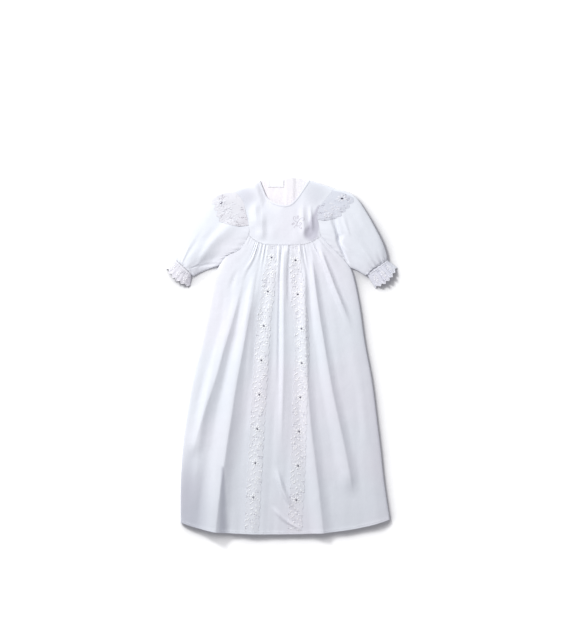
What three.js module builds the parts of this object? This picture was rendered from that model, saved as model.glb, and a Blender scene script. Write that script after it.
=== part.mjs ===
// A baby's long christening gown of white cotton batiste, laid flat on its back.
// Millimetres. +X is the right of the gown as it is seen from above, +Y runs to the neck, +Z is up.
// The origin is the middle of the gown's outline, on the surface that it lies on.
import * as THREE from "three";

// Thicknesses of the cloth and of the lace, and the gaps that seams and laid pieces keep.
const WALL = 1.5;
const LACE = 1.1;
const SEAM = 0.5;
const LAY = 0.3;
const BAND_LAY = 0.6;
const ARMHOLE_GAP = 1.1;
const WRIST_GAP = 0.8;

// Heights of the front's outer face: where it meets the back at the sides, and over the hollow body.
const EDGE_HEIGHT = 2 * WALL + LAY;
const BODY_HEIGHT = 9.6;
const SIDE_ROUND = 38;

// The columns of the front skirt, from the left side to the right side: plain cloth, lace, the
// middle panel, lace, plain cloth. The rows run from the waist seam to the hem.
const SKIRT_COLUMNS = { side: 15, lace: 3, middle: 7 };
const SKIRT_CELLS = 2 * SKIRT_COLUMNS.side + 2 * SKIRT_COLUMNS.lace + SKIRT_COLUMNS.middle;
const SKIRT_ROWS = { upper: 8, lower: 26 };

// Sections of the skirt from the waist seam to the hem: where its left and right edges lie, how low
// the section hangs in the middle, the centres and width of the lace bands, and the edge's height.
// The first four sections end on the armholes and the rest on the side seams.
const SKIRT = [
  { left: -73, leftY: 272, right: 90, rightY: 270, middleY: 249,
    laceL: -19, laceR: 32, lace: 21, edge: 9.6 },
  { left: -92, leftY: 240, right: 119, rightY: 238, middleY: 212,
    laceL: -22, laceR: 33, lace: 25, edge: 9.6 },
  { left: -122, leftY: 224, right: 140, rightY: 218, middleY: 178,
    laceL: -26, laceR: 35, lace: 28, edge: 7 },
  { left: -138, leftY: 204, right: 156, rightY: 198, middleY: 148,
    laceL: -29, laceR: 37, lace: 30, edge: 3.3 },
  { left: -150, leftY: 173, right: 165, rightY: 171, middleY: 124,
    laceL: -32, laceR: 39, lace: 31, edge: 3.3 },
  { left: -162, leftY: 110, right: 177, rightY: 110, middleY: 76,
    laceL: -38, laceR: 45, lace: 32, edge: 3.3 },
  { left: -178, leftY: 32, right: 188, rightY: 32, middleY: 9,
    laceL: -43, laceR: 47, lace: 33, edge: 3.3 },
  { left: -198, leftY: -54, right: 204, rightY: -54, middleY: -72,
    laceL: -48, laceR: 44, lace: 34, edge: 3.3 },
  { left: -212, leftY: -140, right: 215, rightY: -140, middleY: -155,
    laceL: -53, laceR: 41, lace: 34, edge: 3.3 },
  { left: -220, leftY: -205, right: 223, rightY: -205, middleY: -228,
    laceL: -57, laceR: 39, lace: 34, edge: 3.3 },
  { left: -225, leftY: -290, right: 232, rightY: -287, middleY: -314,
    laceL: -62, laceR: 35, lace: 34, edge: 3.3 },
  { left: -225, leftY: -374, right: 244, rightY: -367, middleY: -400,
    laceL: -66, laceR: 29, lace: 34, edge: 3.3 },
];
const ARMHOLE_SECTIONS = 3;
const ROW_BOW = 3;

// The large folds of the front skirt. Each is a ridge from startY down to endY, through three places
// across. Its left flank is wide and its right flank steep; both, and its height, change down the fold.
// The last two columns are the shares of its length over which it rises and dies away.
const SKIRT_FOLDS = [
  {
    name: "left side", startY: 170, endY: -420, x: [-118, -160, -192],
    left: [30, 46], right: [30, 40], high: [3, 6], rise: 0.3, fall: 0.02,
  },
  {
    name: "left short", startY: 190, endY: -235, x: [-84, -138, -200],
    left: [24, 34], right: [12, 16], high: [8, 9], rise: 0.25, fall: 0.3,
  },
  {
    name: "left long", startY: 215, endY: -425, x: [-52, -103, -150],
    left: [22, 52], right: [15, 40], high: [7, 15], rise: 0.2, fall: 0.01,
  },
  {
    name: "under the left lace", startY: 225, endY: -425, x: [-20, -42, -60],
    left: [16, 28], right: [12, 34], high: [4, 5], rise: 0.2, fall: 0.01,
  },
  {
    name: "middle", startY: 245, endY: -200, x: [6, 8, 6],
    left: [10, 12], right: [12, 22], high: [6, 5], rise: 0.1, fall: 0.6,
  },
  {
    name: "right of the lace", startY: 240, endY: -425, x: [54, 62, 98],
    left: [16, 34], right: [9, 22], high: [6, 9], rise: 0.15, fall: 0.01,
  },
  {
    name: "right long", startY: 250, endY: -320, x: [78, 127, 180],
    left: [14, 36], right: [10, 24], high: [6, 9], rise: 0.15, fall: 0.25,
  },
  {
    name: "right short", startY: 262, endY: 55, x: [92, 126, 163],
    left: [12, 16], right: [8, 12], high: [8, 7], rise: 0.2, fall: 0.35,
  },
  {
    name: "right side", startY: 160, endY: -420, x: [140, 178, 205],
    left: [26, 44], right: [30, 44], high: [3, 6], rise: 0.3, fall: 0.02,
  },
  {
    name: "low diagonal", startY: -262, endY: -345, x: [-2, 12, 32],
    left: [12, 14], right: [9, 12], high: [4, 4], rise: 0.4, fall: 0.4,
  },
];

// The waist gathers: small waves under the seam that are highest a little below it.
const GATHERS = { count: 11, high: 1.9, peak: 16, fade: 95, seamShare: 0.35 };

// The neck's edge in front and at the back, from the left shoulder to the right one, as x and y.
const NECK_FRONT = [
  [-47, 394], [-40, 376], [-32, 358], [-18, 346], [9, 339], [25, 345], [37, 358], [50, 377], [62, 396],
];
const NECK_BACK = [[-47, 394], [-20, 398.6], [8, 399.7], [36, 399.5], [62, 396]];
const BINDING_WIDTH = 4.5;

// The armholes from the tip of the shoulder to the underarm, as x and y. yokeShare is how much of
// the armhole belongs to the yoke; the rest is the skirt's.
const ARMHOLES = {
  left: {
    points: [
      [-106, 372], [-86, 349], [-79, 322], [-74, 299],
      [-73, 272], [-92, 240], [-122, 224], [-138, 204],
    ],
    yokeShare: 4 / 7,
  },
  right: {
    points: [
      [119, 377], [100, 351], [86, 335], [81, 313], [86, 291],
      [90, 270], [119, 238], [140, 218], [156, 198],
    ],
    yokeShare: 5 / 8,
  },
};

// The yoke's columns along an armhole and along the waist seam, its rows, and its small folds.
const YOKE_CELLS = { armhole: 9, seam: 16, down: 7 };
const YOKE_FOLDS = [
  {
    name: "left outer", startY: 352, endY: 284, x: [-54, -53, -50],
    left: [16, 18], right: [8, 9], high: [3, 3], rise: 0.4, fall: 0.4,
  },
  {
    name: "left inner", startY: 328, endY: 256, x: [-38, -38, -36],
    left: [16, 18], right: [8, 9], high: [3, 3], rise: 0.4, fall: 0.3,
  },
  {
    name: "right inner", startY: 350, endY: 262, x: [50, 51, 54],
    left: [14, 12], right: [8, 12], high: [4, 5], rise: 0.4, fall: 0.4,
  },
  {
    name: "right outer", startY: 345, endY: 268, x: [66, 69, 72],
    left: [8, 8], right: [7, 8], high: [3, 4], rise: 0.4, fall: 0.4,
  },
];
// The hollow by the right armhole has a flat floor for this share of its radius. The folds fade out
// over the last share of the yoke's way down, and the shoulders rise over this share of its width.
const YOKE_POCKET = { x: 64, y: 276, radius: 16, deep: 3, floor: 0.35 };
const YOKE_RIM = 0.12;
const SHOULDER_RISE = 0.17;

// The back opens down its middle. The right half laps over the left one by this much.
const PLACKET = { x: 11, lap: 11, flat: 4, slope: 9 };
const BACK_YOKE_CELLS = { armhole: 9, seam: 8, down: 2 };
const BACK_SKIRT_ROWS = { upper: 8, lower: 6 };
const BACK_SKIRT_CELLS = 10;

// The blank woven label inside the back of the neck.
const LABEL = { left: -29, right: 6, top: 396, bottom: 380 };

// Sleeve stations from the armhole to the wrist. The outer edge runs from the shoulder, the under
// edge from the underarm; bow is how much of the armhole's curve is left, high is the puff.
const SLEEVES = {
  left: [
    { outer: [-106, 372], under: [-138, 204], bow: 1, high: 10 },
    { outer: [-133, 368], under: [-155, 198], bow: 0.72, high: 13 },
    { outer: [-158, 356], under: [-171, 192], bow: 0.5, high: 16 },
    { outer: [-186, 323], under: [-183, 187], bow: 0.34, high: 18 },
    { outer: [-207, 286], under: [-190, 183], bow: 0.22, high: 18 },
    { outer: [-224, 252], under: [-195, 180], bow: 0.12, high: 17 },
    { outer: [-234, 227], under: [-198, 180], bow: 0.05, high: 14 },
    { outer: [-236, 217], under: [-201, 184], bow: 0, high: 10 },
  ],
  right: [
    { outer: [119, 377], under: [156, 198], bow: 1, high: 10 },
    { outer: [144, 370], under: [162, 196], bow: 0.72, high: 13 },
    { outer: [168, 357], under: [169, 193], bow: 0.5, high: 16 },
    { outer: [187, 331], under: [175, 190], bow: 0.34, high: 18 },
    { outer: [209, 293], under: [181, 186], bow: 0.22, high: 18 },
    { outer: [228, 255], under: [186, 183], bow: 0.12, high: 17 },
    { outer: [237, 228], under: [190, 181], bow: 0.05, high: 14 },
    { outer: [238, 216], under: [192, 185], bow: 0, high: 10 },
  ],
};
const SLEEVE_CELLS = { front: 20, back: 14, along: 12 };
const SLEEVE_ROUNDNESS = 0.5;

// Folds of a sleeve's front, from one place to another. s runs from the outer edge to the under
// edge and t from the armhole to the wrist; wide is in the same shares. A low one is a trough.
const SLEEVE_FOLDS = {
  left: [
    { from: [0.3, 0.03], to: [0.62, 0.62], wide: 0.13, high: 5 },
    { from: [0.94, 0.02], to: [0.86, 0.58], wide: 0.07, high: -3 },
    { from: [0.25, 0.62], to: [0.33, 0.97], wide: 0.08, high: 3 },
  ],
  right: [
    { from: [0.26, 0.1], to: [0.64, 0.28], wide: 0.08, high: -4 },
    { from: [0.56, 0.27], to: [0.92, 0.07], wide: 0.08, high: -4 },
    { from: [0.26, 0.24], to: [0.5, 0.38], wide: 0.07, high: 3 },
    { from: [0.5, 0.5], to: [0.56, 0.95], wide: 0.09, high: 3 },
  ],
};
const WRIST_GATHERS = { count: 5.5, high: 1.6, length: 0.3 };

// The cuff frills: where the outer and under ends of the scalloped edge lie, how far that edge bows
// out, and the waves.
const CUFFS = {
  left: { outer: [-260, 204], under: [-205, 157], bow: 9 },
  right: { outer: [260, 200], under: [211, 154], bow: 9 },
};
const CUFF_CELLS = { front: 24, back: 6, along: 3 };
const CUFF_WAVES = { count: 6, high: 2.3, scallop: 2.2 };
const CUFF_HEIGHT = [10, 11];

// The lace frills over the shoulders lie on the sleeves, from start to end across. reach is how far
// down the sleeve the frill's edge lies, at even steps from the shoulder to its lower end.
const FRILLS = {
  left: { start: 0.03, end: 0.46, reach: [0.27, 0.27, 0.265, 0.25, 0.22, 0.1] },
  right: { start: 0.03, end: 0.41, reach: [0.26, 0.25, 0.24, 0.22, 0.19, 0.09] },
};
const FRILL_CELLS = { along: 26, out: 5 };
const FRILL = { lift: 1, scallops: 5, scallop: 0.12, waves: 5, high: 2.2, stand: 1.6 };

// Beyond its own columns a lace band reaches this share of the next column, in turn from row to row,
// which scallops its outer edge.
const BAND_SCALLOP = [0.1, 0.36];

const CLOTH = { color: 0xf3f4fa, roughness: 0.85, metalness: 0 };
const LACE_CLOTH = { color: 0xf8f9fd, roughness: 0.8, metalness: 0 };
const LABEL_CLOTH = { color: 0xffffff, roughness: 0.6, metalness: 0 };

const { clamp, lerp, smoothstep } = THREE.MathUtils;

// A smooth value through evenly spaced stations, for t from 0 to 1.
function through(values, t) {
  const place = clamp(t, 0, 1) * (values.length - 1);
  const i = Math.min(Math.floor(place), values.length - 2);
  const f = place - i;
  const [a, b, c, d] = [-1, 0, 1, 2].map((step) => values[clamp(i + step, 0, values.length - 1)]);
  return b + 0.5 * f * (c - a + f * (2 * a - 5 * b + 4 * c - d + f * (3 * (b - c) + d - a)));
}

// The same through points [x, y].
function curveThrough(points, t) {
  return [0, 1].map((axis) => through(points.map((point) => point[axis]), t));
}

// A table's column as a smooth function of t.
function column(table, key) {
  const values = table.map((row) => row[key]);
  return (t) => through(values, t);
}

// A grid of points: rows times columns of cells, with place(across, down) each from 0 to 1.
function grid(down, across, place) {
  return Array.from({ length: down + 1 }, (_, row) =>
    Array.from({ length: across + 1 }, (_, col) => place(col / across, row / down)),
  );
}

function raised(points, by) {
  return points.map((row) => row.map((p) => new THREE.Vector3(p.x, p.y, p.z + by)));
}

// The two triangles of each cell of a grid whose points are numbered from first.
function cells(rows, columns, first, index, stride = columns + 1) {
  for (let r = 0; r < rows; r += 1) {
    for (let c = 0; c < columns; c += 1) {
      const a = first + r * stride + c;
      const b = first + r * stride + ((c + 1) % stride);
      const d = a + stride;
      const e = b + stride;
      index.push(a, d, e, a, e, b);
    }
  }
}

// The six-fold volume that the triangles enclose: negative when they face inwards.
function enclosed(points, index) {
  let sum = 0;
  for (let i = 0; i < index.length; i += 3) {
    const [a, b, c] = [0, 1, 2].map((k) => points[index[i + k]]);
    sum += a.dot(new THREE.Vector3().crossVectors(b, c));
  }
  return sum;
}

// A named mesh of the triangles, with their faces turned outwards.
function piece(name, points, index, look) {
  const facing = enclosed(points, index) < 0 ? [...index].reverse() : index;
  const geometry = new THREE.BufferGeometry().setFromPoints(points).setIndex(facing);
  geometry.computeVertexNormals();
  const mesh = new THREE.Mesh(geometry, new THREE.MeshStandardMaterial(look));
  mesh.name = name;
  return mesh;
}

// A closed wall between an upper and a lower grid of the same size.
function sheet(name, upper, lower, look) {
  const rows = upper.length - 1;
  const columns = upper[0].length - 1;
  const points = [...upper.flat(), ...lower.flat()];
  const under = (rows + 1) * (columns + 1);
  const index = [];
  cells(rows, columns, 0, index);
  const below = [];
  cells(rows, columns, under, below);
  index.push(...below.reverse());
  const at = (r, c) => r * (columns + 1) + c;
  const rim = [];
  for (let c = 0; c < columns; c += 1) rim.push(at(0, c));
  for (let r = 0; r < rows; r += 1) rim.push(at(r, columns));
  for (let c = columns; c > 0; c -= 1) rim.push(at(rows, c));
  for (let r = rows; r > 0; r -= 1) rim.push(at(r, 0));
  rim.forEach((a, i) => {
    const b = rim[(i + 1) % rim.length];
    index.push(a, b, b + under, a, b + under, a + under);
  });
  return piece(name, points, index, look);
}

// A closed wall between the outer and the inner rings of a tube that is open at both ends.
function tube(name, outer, inner, look) {
  const rings = outer.length - 1;
  const around = outer[0].length;
  const points = [...outer.flat(), ...inner.flat()];
  const inside = (rings + 1) * around;
  const index = [];
  cells(rings, around, 0, index, around);
  const lining = [];
  cells(rings, around, inside, lining, around);
  index.push(...lining.reverse());
  for (let c = 0; c < around; c += 1) {
    const next = (c + 1) % around;
    const last = rings * around;
    index.push(c, next, next + inside, c, next + inside, c + inside);
    index.push(last + next, last + c, last + c + inside);
    index.push(last + next, last + c + inside, last + next + inside);
  }
  return piece(name, points, index, look);
}

// The height that a table of ridges gives at a point.
function foldHeight(folds, x, y) {
  return folds.reduce((sum, fold) => {
    const t = (fold.startY - y) / (fold.startY - fold.endY);
    if (t <= 0 || t >= 1) return sum;
    const off = x - through(fold.x, t);
    const flank = off < 0 ? lerp(...fold.left, t) : lerp(...fold.right, t);
    if (Math.abs(off) >= flank) return sum;
    const ends = smoothstep(t, 0, fold.rise) * smoothstep(1 - t, 0, fold.fall);
    return sum + 0.5 * lerp(...fold.high, t) * ends * (1 + Math.cos((Math.PI * off) / flank));
  }, 0);
}

const skirtColumn = Object.fromEntries(Object.keys(SKIRT[0]).map((key) => [key, column(SKIRT, key)]));
const ARMHOLE_DOWN = ARMHOLE_SECTIONS / (SKIRT.length - 1);

// An end of a skirt section: on the armhole above the underarm and on the side seam below it.
function skirtEdge(side, v) {
  if (v >= ARMHOLE_DOWN) return [skirtColumn[side](v), skirtColumn[side + "Y"](v)];
  const { points, yokeShare } = ARMHOLES[side];
  return curveThrough(points, lerp(yokeShare, 1, v / ARMHOLE_DOWN));
}

// Where the skirt lies in plan. Across, the lace bands keep their own widths.
function skirtPlan(u, v) {
  const [left, leftY] = skirtEdge("left", v);
  const [right, rightY] = skirtEdge("right", v);
  const half = skirtColumn.lace(v) / 2;
  const laceL = skirtColumn.laceL(v);
  const laceR = skirtColumn.laceR(v);
  const { side, lace, middle } = SKIRT_COLUMNS;
  const spans = [
    [side, left, laceL - half],
    [lace, laceL - half, laceL + half],
    [middle, laceL + half, laceR - half],
    [lace, laceR - half, laceR + half],
    [side, laceR + half, right],
  ];
  let cell = u * SKIRT_CELLS;
  let span = 0;
  while (span < spans.length - 1 && cell > spans[span][0]) {
    cell -= spans[span][0];
    span += 1;
  }
  const x = lerp(spans[span][1], spans[span][2], cell / spans[span][0]);
  const middleY = skirtColumn.middleY(v);
  const y = middleY + (lerp(leftY, rightY, u) - middleY) * Math.abs(2 * u - 1) ** ROW_BOW;
  return { x, y, left, right };
}

function gatherHeight(u, below) {
  const rise = lerp(GATHERS.seamShare, 1, smoothstep(below, 0, GATHERS.peak));
  const fall = 1 - smoothstep(below, GATHERS.peak, GATHERS.fade);
  return GATHERS.high * rise * fall * (1 + Math.cos(2 * Math.PI * GATHERS.count * u)) * 0.5;
}

// The outer face of the front skirt: a hollow body that comes down to the back at the side seams,
// with the folds and the gathers on it.
function skirtFace(u, v) {
  const { x, y, left, right } = skirtPlan(u, v);
  const inward = smoothstep(Math.min(x - left, right - x), 0, SIDE_ROUND);
  const below = skirtPlan(u, 0).y - y;
  const body = lerp(Math.min(skirtColumn.edge(v), BODY_HEIGHT), BODY_HEIGHT, inward);
  const z = body + inward * foldHeight(SKIRT_FOLDS, x, y) + gatherHeight(u, below);
  return new THREE.Vector3(x, y, z);
}

// Where row number row lies: even steps down the armhole, then even steps down the middle.
function skirtDown(row, { upper, lower }) {
  if (row <= upper) return (ARMHOLE_DOWN * row) / upper;
  const [first, last] = [skirtColumn.middleY(ARMHOLE_DOWN), skirtColumn.middleY(1)];
  return solve((v) => -skirtColumn.middleY(v), -lerp(first, last, (row - upper) / lower));
}

// The share from 0 to 1 at which a rising function reaches a value.
function solve(rising, value) {
  let [low, high] = [0, 1];
  for (let i = 0; i < 24; i += 1) {
    const middle = (low + high) / 2;
    if (rising(middle) < value) low = middle;
    else high = middle;
  }
  return high;
}

// A grid of the skirt's sections with these rows.
function skirtSections(rows, columns, face) {
  const count = rows.upper + rows.lower;
  return grid(count, columns, (u, v) => face(u, skirtDown(Math.round(v * count), rows)));
}

const skirtGrid = skirtSections(SKIRT_ROWS, SKIRT_CELLS, skirtFace);

function skirtFront() {
  return sheet("skirt_front", skirtGrid, raised(skirtGrid, -WALL), CLOTH);
}

// The back skirt lies flat on the surface.
function skirtBack() {
  const flat = skirtSections(BACK_SKIRT_ROWS, BACK_SKIRT_CELLS, (u, v) => {
    const { x, y } = skirtPlan(u, v);
    return new THREE.Vector3(x, y, WALL);
  });
  return sheet("skirt_back", flat, raised(flat, -WALL), CLOTH);
}

// A lace band lies on the skirt's own points between two columns, with a scalloped outer edge.
function laceBand(name, firstColumn, outerSide) {
  const lastColumn = firstColumn + SKIRT_COLUMNS.lace;
  const face = skirtGrid.map((row, r) => {
    const band = row.slice(firstColumn, lastColumn + 1);
    const edge = outerSide < 0 ? firstColumn : lastColumn;
    const scallop = row[edge].clone().lerp(row[edge + outerSide], BAND_SCALLOP[r % 2]);
    return outerSide < 0 ? [scallop, ...band] : [...band, scallop];
  });
  return sheet(name, raised(face, BAND_LAY + LACE), raised(face, BAND_LAY), LACE_CLOTH);
}

// The yoke's outer edge from the left shoulder tip down the armhole, along the waist seam and up
// the other armhole, as [x, y] for u from 0 to 1.
function yokeEdge(u) {
  const { armhole, seam } = YOKE_CELLS;
  const place = u * (2 * armhole + seam);
  if (place <= armhole) {
    return curveThrough(ARMHOLES.left.points, (place / armhole) * ARMHOLES.left.yokeShare);
  }
  if (place >= armhole + seam) {
    const up = (2 * armhole + seam - place) / armhole;
    return curveThrough(ARMHOLES.right.points, up * ARMHOLES.right.yokeShare);
  }
  const { x, y } = skirtPlan((place - armhole) / seam, 0);
  return [x, y + SEAM];
}

// Shares of the way from the neck to the outer edge: the first row is the binding's width.
function yokeShare(row, rows, span) {
  const first = BINDING_WIDTH / span;
  return row < 1 ? row * first : lerp(first, 1, (row - 1) / (rows - 1));
}

function pocketDepth(x, y) {
  const off = Math.hypot(x - YOKE_POCKET.x, y - YOKE_POCKET.y) / YOKE_POCKET.radius;
  return YOKE_POCKET.deep * (1 - smoothstep(off, YOKE_POCKET.floor, 1));
}

function yokeFace(u, v) {
  const { armhole, seam, down } = YOKE_CELLS;
  const [nx, ny] = curveThrough(NECK_FRONT, u);
  const [ex, ey] = yokeEdge(u);
  const share = yokeShare(v * down, down, Math.hypot(ex - nx, ey - ny));
  const x = lerp(nx, ex, share);
  const y = lerp(ny, ey, share);
  const rise = smoothstep(Math.min(u, 1 - u), 0, SHOULDER_RISE);
  const inside = smoothstep(1 - share, 0, YOKE_RIM);
  const form = foldHeight(YOKE_FOLDS, x, y) - pocketDepth(x, y);
  return new THREE.Vector3(x, y, lerp(EDGE_HEIGHT, BODY_HEIGHT, rise) + rise * inside * form);
}

const yokeColumns = 2 * YOKE_CELLS.armhole + YOKE_CELLS.seam;
const yokeGrid = grid(YOKE_CELLS.down, yokeColumns, yokeFace);

function yokeFront() {
  return sheet("yoke_front", yokeGrid, raised(yokeGrid, -WALL), CLOTH);
}

// A narrow bias binding on the yoke's first two rows of points.
function neckBinding() {
  const edge = yokeGrid.slice(0, 2);
  return sheet("neck_binding", raised(edge, LAY + LACE), raised(edge, LAY), CLOTH);
}

// How high the right half of the back yoke rises to lap over the left half.
function lapHeight(x) {
  const from = PLACKET.x + PLACKET.lap + PLACKET.flat;
  return (WALL + LAY) * (1 - smoothstep(x, from, from + PLACKET.slope));
}

// One half of the back yoke, from the shoulder to the middle. The right half rises over the left.
function yokeBack(side) {
  const { armhole, seam, down } = BACK_YOKE_CELLS;
  const { points, yokeShare: share } = ARMHOLES[side];
  const isLeft = side === "left";
  const middleX = isLeft ? PLACKET.x + PLACKET.lap : PLACKET.x;
  const [first, last] = [SKIRT[0].left, SKIRT[0].right];
  const middleU = (middleX - first) / (last - first);
  const columns = armhole + seam;
  const flat = grid(down, columns, (u, v) => {
    const [shoulderX, endX] = [isLeft ? NECK_BACK[0][0] : NECK_BACK.at(-1)[0], middleX];
    const nx = lerp(shoulderX, endX, u);
    const ny = curveThrough(NECK_BACK, (nx - NECK_BACK[0][0]) / (NECK_BACK.at(-1)[0] - NECK_BACK[0][0]))[1];
    const place = u * columns;
    const along = Math.max(place - armhole, 0) / seam;
    const seamU = isLeft ? along * middleU : lerp(1, middleU, along);
    const onSeam = backSeam(seamU);
    const [ex, ey] = place <= armhole ? curveThrough(points, (place / armhole) * share) : onSeam;
    const x = lerp(nx, ex, v);
    return new THREE.Vector3(x, lerp(ny, ey, v), WALL + (isLeft ? 0 : lapHeight(x)));
  });
  return sheet("yoke_back_" + side, flat, raised(flat, -WALL), CLOTH);
}

// The waist seam of the back, by its share of the way across.
function backSeam(share) {
  const x = lerp(SKIRT[0].left, SKIRT[0].right, share);
  return [x, skirtPlan(solve((u) => skirtPlan(u, 0).x, x), 0).y + SEAM];
}

function label() {
  const face = grid(1, 2, (u, v) => {
    const z = WALL + LAY + LACE;
    return new THREE.Vector3(lerp(LABEL.left, LABEL.right, u), lerp(LABEL.top, LABEL.bottom, v), z);
  });
  return sheet("label", face, raised(face, -LACE), LABEL_CLOTH);
}

const ARMHOLE_STEP = 0.02;

// The unit direction away from the body at a place on the armhole.
function outwards(side, points, s) {
  const before = curveThrough(points, s - ARMHOLE_STEP);
  const after = curveThrough(points, s + ARMHOLE_STEP);
  const run = [after[0] - before[0], after[1] - before[1]];
  const turn = (side === "left" ? 1 : -1) / Math.hypot(...run);
  return [run[1] * turn, -run[0] * turn];
}

// A place on a sleeve in plan: s across from the outer to the under edge, t from the armhole down.
function sleevePlan(side, s, t) {
  const stations = SLEEVES[side];
  const { points } = ARMHOLES[side];
  const outer = curveThrough(stations.map((station) => station.outer), t);
  const under = curveThrough(stations.map((station) => station.under), t);
  const armhole = curveThrough(points, s);
  const bow = through(stations.map((station) => station.bow), t);
  const away = outwards(side, points, s);
  return [0, 1].map((axis) => {
    const straight = lerp(stations[0].outer[axis], stations[0].under[axis], s);
    const place = lerp(outer[axis], under[axis], s) + bow * (armhole[axis] - straight);
    return place + ARMHOLE_GAP * away[axis];
  });
}

// A fold's height at (s, t): a cosine across it, and a sine along it.
function sleeveFold({ from, to, wide, high }, s, t) {
  const run = new THREE.Vector2(to[0] - from[0], to[1] - from[1]);
  const place = new THREE.Vector2(s - from[0], t - from[1]);
  const along = clamp(place.dot(run) / run.lengthSq(), 0, 1);
  const off = Math.abs(place.cross(run)) / (run.length() * wide);
  return 0.5 * high * Math.sin(Math.PI * along) * (1 + Math.cos(Math.PI * Math.min(off, 1)));
}

// The height of a sleeve's outer face: the puff, its folds and the gathers at the wrist.
function sleeveHeight(side, s, t) {
  const high = through(SLEEVES[side].map((station) => station.high), t);
  const dome = Math.max(Math.sin(Math.PI * acrossAngle(s)), 0) ** SLEEVE_ROUNDNESS;
  const folds = SLEEVE_FOLDS[side].reduce((sum, fold) => sum + sleeveFold(fold, s, t), 0);
  const nearWrist = smoothstep(t, 1 - WRIST_GATHERS.length, 1);
  const gathers = WRIST_GATHERS.high * nearWrist * Math.cos(2 * Math.PI * WRIST_GATHERS.count * s);
  return dome * (high + folds + gathers);
}

// s as a share of a half turn, so that even angles are close together at the edges.
function acrossAngle(s) {
  return Math.acos(1 - 2 * clamp(s, 0, 1)) / Math.PI;
}

// A closed section as [s, z]: over the front from the outer to the under edge and back underneath.
function section(front, back, height) {
  const over = Array.from({ length: front + 1 }, (_, i) => {
    const s = 0.5 * (1 - Math.cos((Math.PI * i) / front));
    return [s, height(s)];
  });
  const under = Array.from({ length: back - 1 }, (_, i) => [1 - (i + 1) / back, 0]);
  return [...over, ...under];
}

// Corners sharper than this are moved in no further.
const SHARPEST = 0.6;

// The section moved in by the wall, with width the length of s in millimetres.
function inset(outline, width, wall) {
  const flat = outline.map(([s, z]) => new THREE.Vector2(s * width, z));
  return flat.map((point, i) => {
    const before = flat[(i + flat.length - 1) % flat.length];
    const after = flat[(i + 1) % flat.length];
    const [inA, inB] = [[before, point], [point, after]].map(([from, to]) => {
      const run = to.clone().sub(from).normalize();
      return new THREE.Vector2(run.y, -run.x);
    });
    const miter = wall / Math.max(1 + inA.dot(inB), SHARPEST);
    const moved = point.clone().add(inA.add(inB).multiplyScalar(miter));
    return [moved.x / width, moved.y];
  });
}

// The outer and inner rings of a tube whose plan and section are given.
function rings(count, plan, outlineAt) {
  const outer = [];
  const inner = [];
  for (let i = 0; i <= count; i += 1) {
    const t = i / count;
    const [ax, ay] = plan(0, t);
    const [bx, by] = plan(1, t);
    const width = Math.hypot(bx - ax, by - ay);
    const outline = outlineAt(t);
    const place = ([s, z]) => new THREE.Vector3(...plan(s, t), z);
    outer.push(outline.map(place));
    inner.push(inset(outline, width, WALL).map(place));
  }
  return [outer, inner];
}

function sleeve(side) {
  const { front, back, along } = SLEEVE_CELLS;
  const plan = (s, t) => sleevePlan(side, s, t);
  const outline = (t) => section(front, back, (s) => sleeveHeight(side, s, t));
  return tube("sleeve_" + side, ...rings(along, plan, outline), CLOTH);
}

// A place on a cuff frill in plan: t runs from the wrist's elastic to the scalloped edge.
function cuffPlan(side, s, t) {
  const cuff = CUFFS[side];
  const wrist = sleevePlan(side, s, 1);
  const run = [cuff.under[0] - cuff.outer[0], cuff.under[1] - cuff.outer[1]];
  const out = side === "left" ? [run[1], -run[0]] : [-run[1], run[0]];
  const size = Math.hypot(...run);
  const wave = CUFF_WAVES.scallop * Math.cos(2 * Math.PI * CUFF_WAVES.count * s);
  const bow = lerp(WRIST_GAP, cuff.bow * Math.sin(Math.PI * clamp(s, 0, 1)) + wave, t);
  return [0, 1].map((axis) => {
    const edge = lerp(cuff.outer[axis], cuff.under[axis], s);
    return lerp(wrist[axis], edge, t) + (bow * out[axis]) / size;
  });
}

function cuffFrill(side) {
  const { front, back, along } = CUFF_CELLS;
  const height = (s, t) => {
    const dome = Math.max(Math.sin(Math.PI * acrossAngle(s)), 0) ** SLEEVE_ROUNDNESS;
    const wave = CUFF_WAVES.high * smoothstep(t, 0, 1) * Math.cos(2 * Math.PI * CUFF_WAVES.count * s);
    return dome * (lerp(...CUFF_HEIGHT, t) + wave);
  };
  const outline = (t) => section(front, back, (s) => height(s, t));
  return tube("cuff_frill_" + side, ...rings(along, (s, t) => cuffPlan(side, s, t), outline), LACE_CLOTH);
}

// A lace frill sewn into the armhole seam: it lies on the sleeve's own surface, moved out, and its
// free edge stands a little higher in waves and is scalloped.
function shoulderFrill(side) {
  const { start, end, reach } = FRILLS[side];
  const face = grid(FRILL_CELLS.along, FRILL_CELLS.out, (q, along) => {
    const s = lerp(start, end, along);
    const scallop = FRILL.scallop * Math.abs(Math.sin(Math.PI * FRILL.scallops * along));
    const t = q * through(reach, along) * (1 + scallop);
    const wave = FRILL.high * q * (1 + Math.cos(2 * Math.PI * FRILL.waves * along));
    const z = sleeveHeight(side, s, t) + FRILL.lift + FRILL.stand * q + wave;
    return new THREE.Vector3(...sleevePlan(side, s, t), z);
  });
  return sheet("shoulder_frill_" + side, raised(face, LACE), face, LACE_CLOTH);
}

const gown = new THREE.Group();
gown.add(skirtBack(), skirtFront());
gown.add(laceBand("lace_band_left", SKIRT_COLUMNS.side, -1));
gown.add(laceBand("lace_band_right", SKIRT_COLUMNS.side + SKIRT_COLUMNS.lace + SKIRT_COLUMNS.middle, 1));
gown.add(yokeFront(), neckBinding(), label());
for (const side of ["left", "right"]) {
  gown.add(yokeBack(side), sleeve(side), cuffFrill(side), shoulderFrill(side));
}

export default gown;
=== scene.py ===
import math

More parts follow.
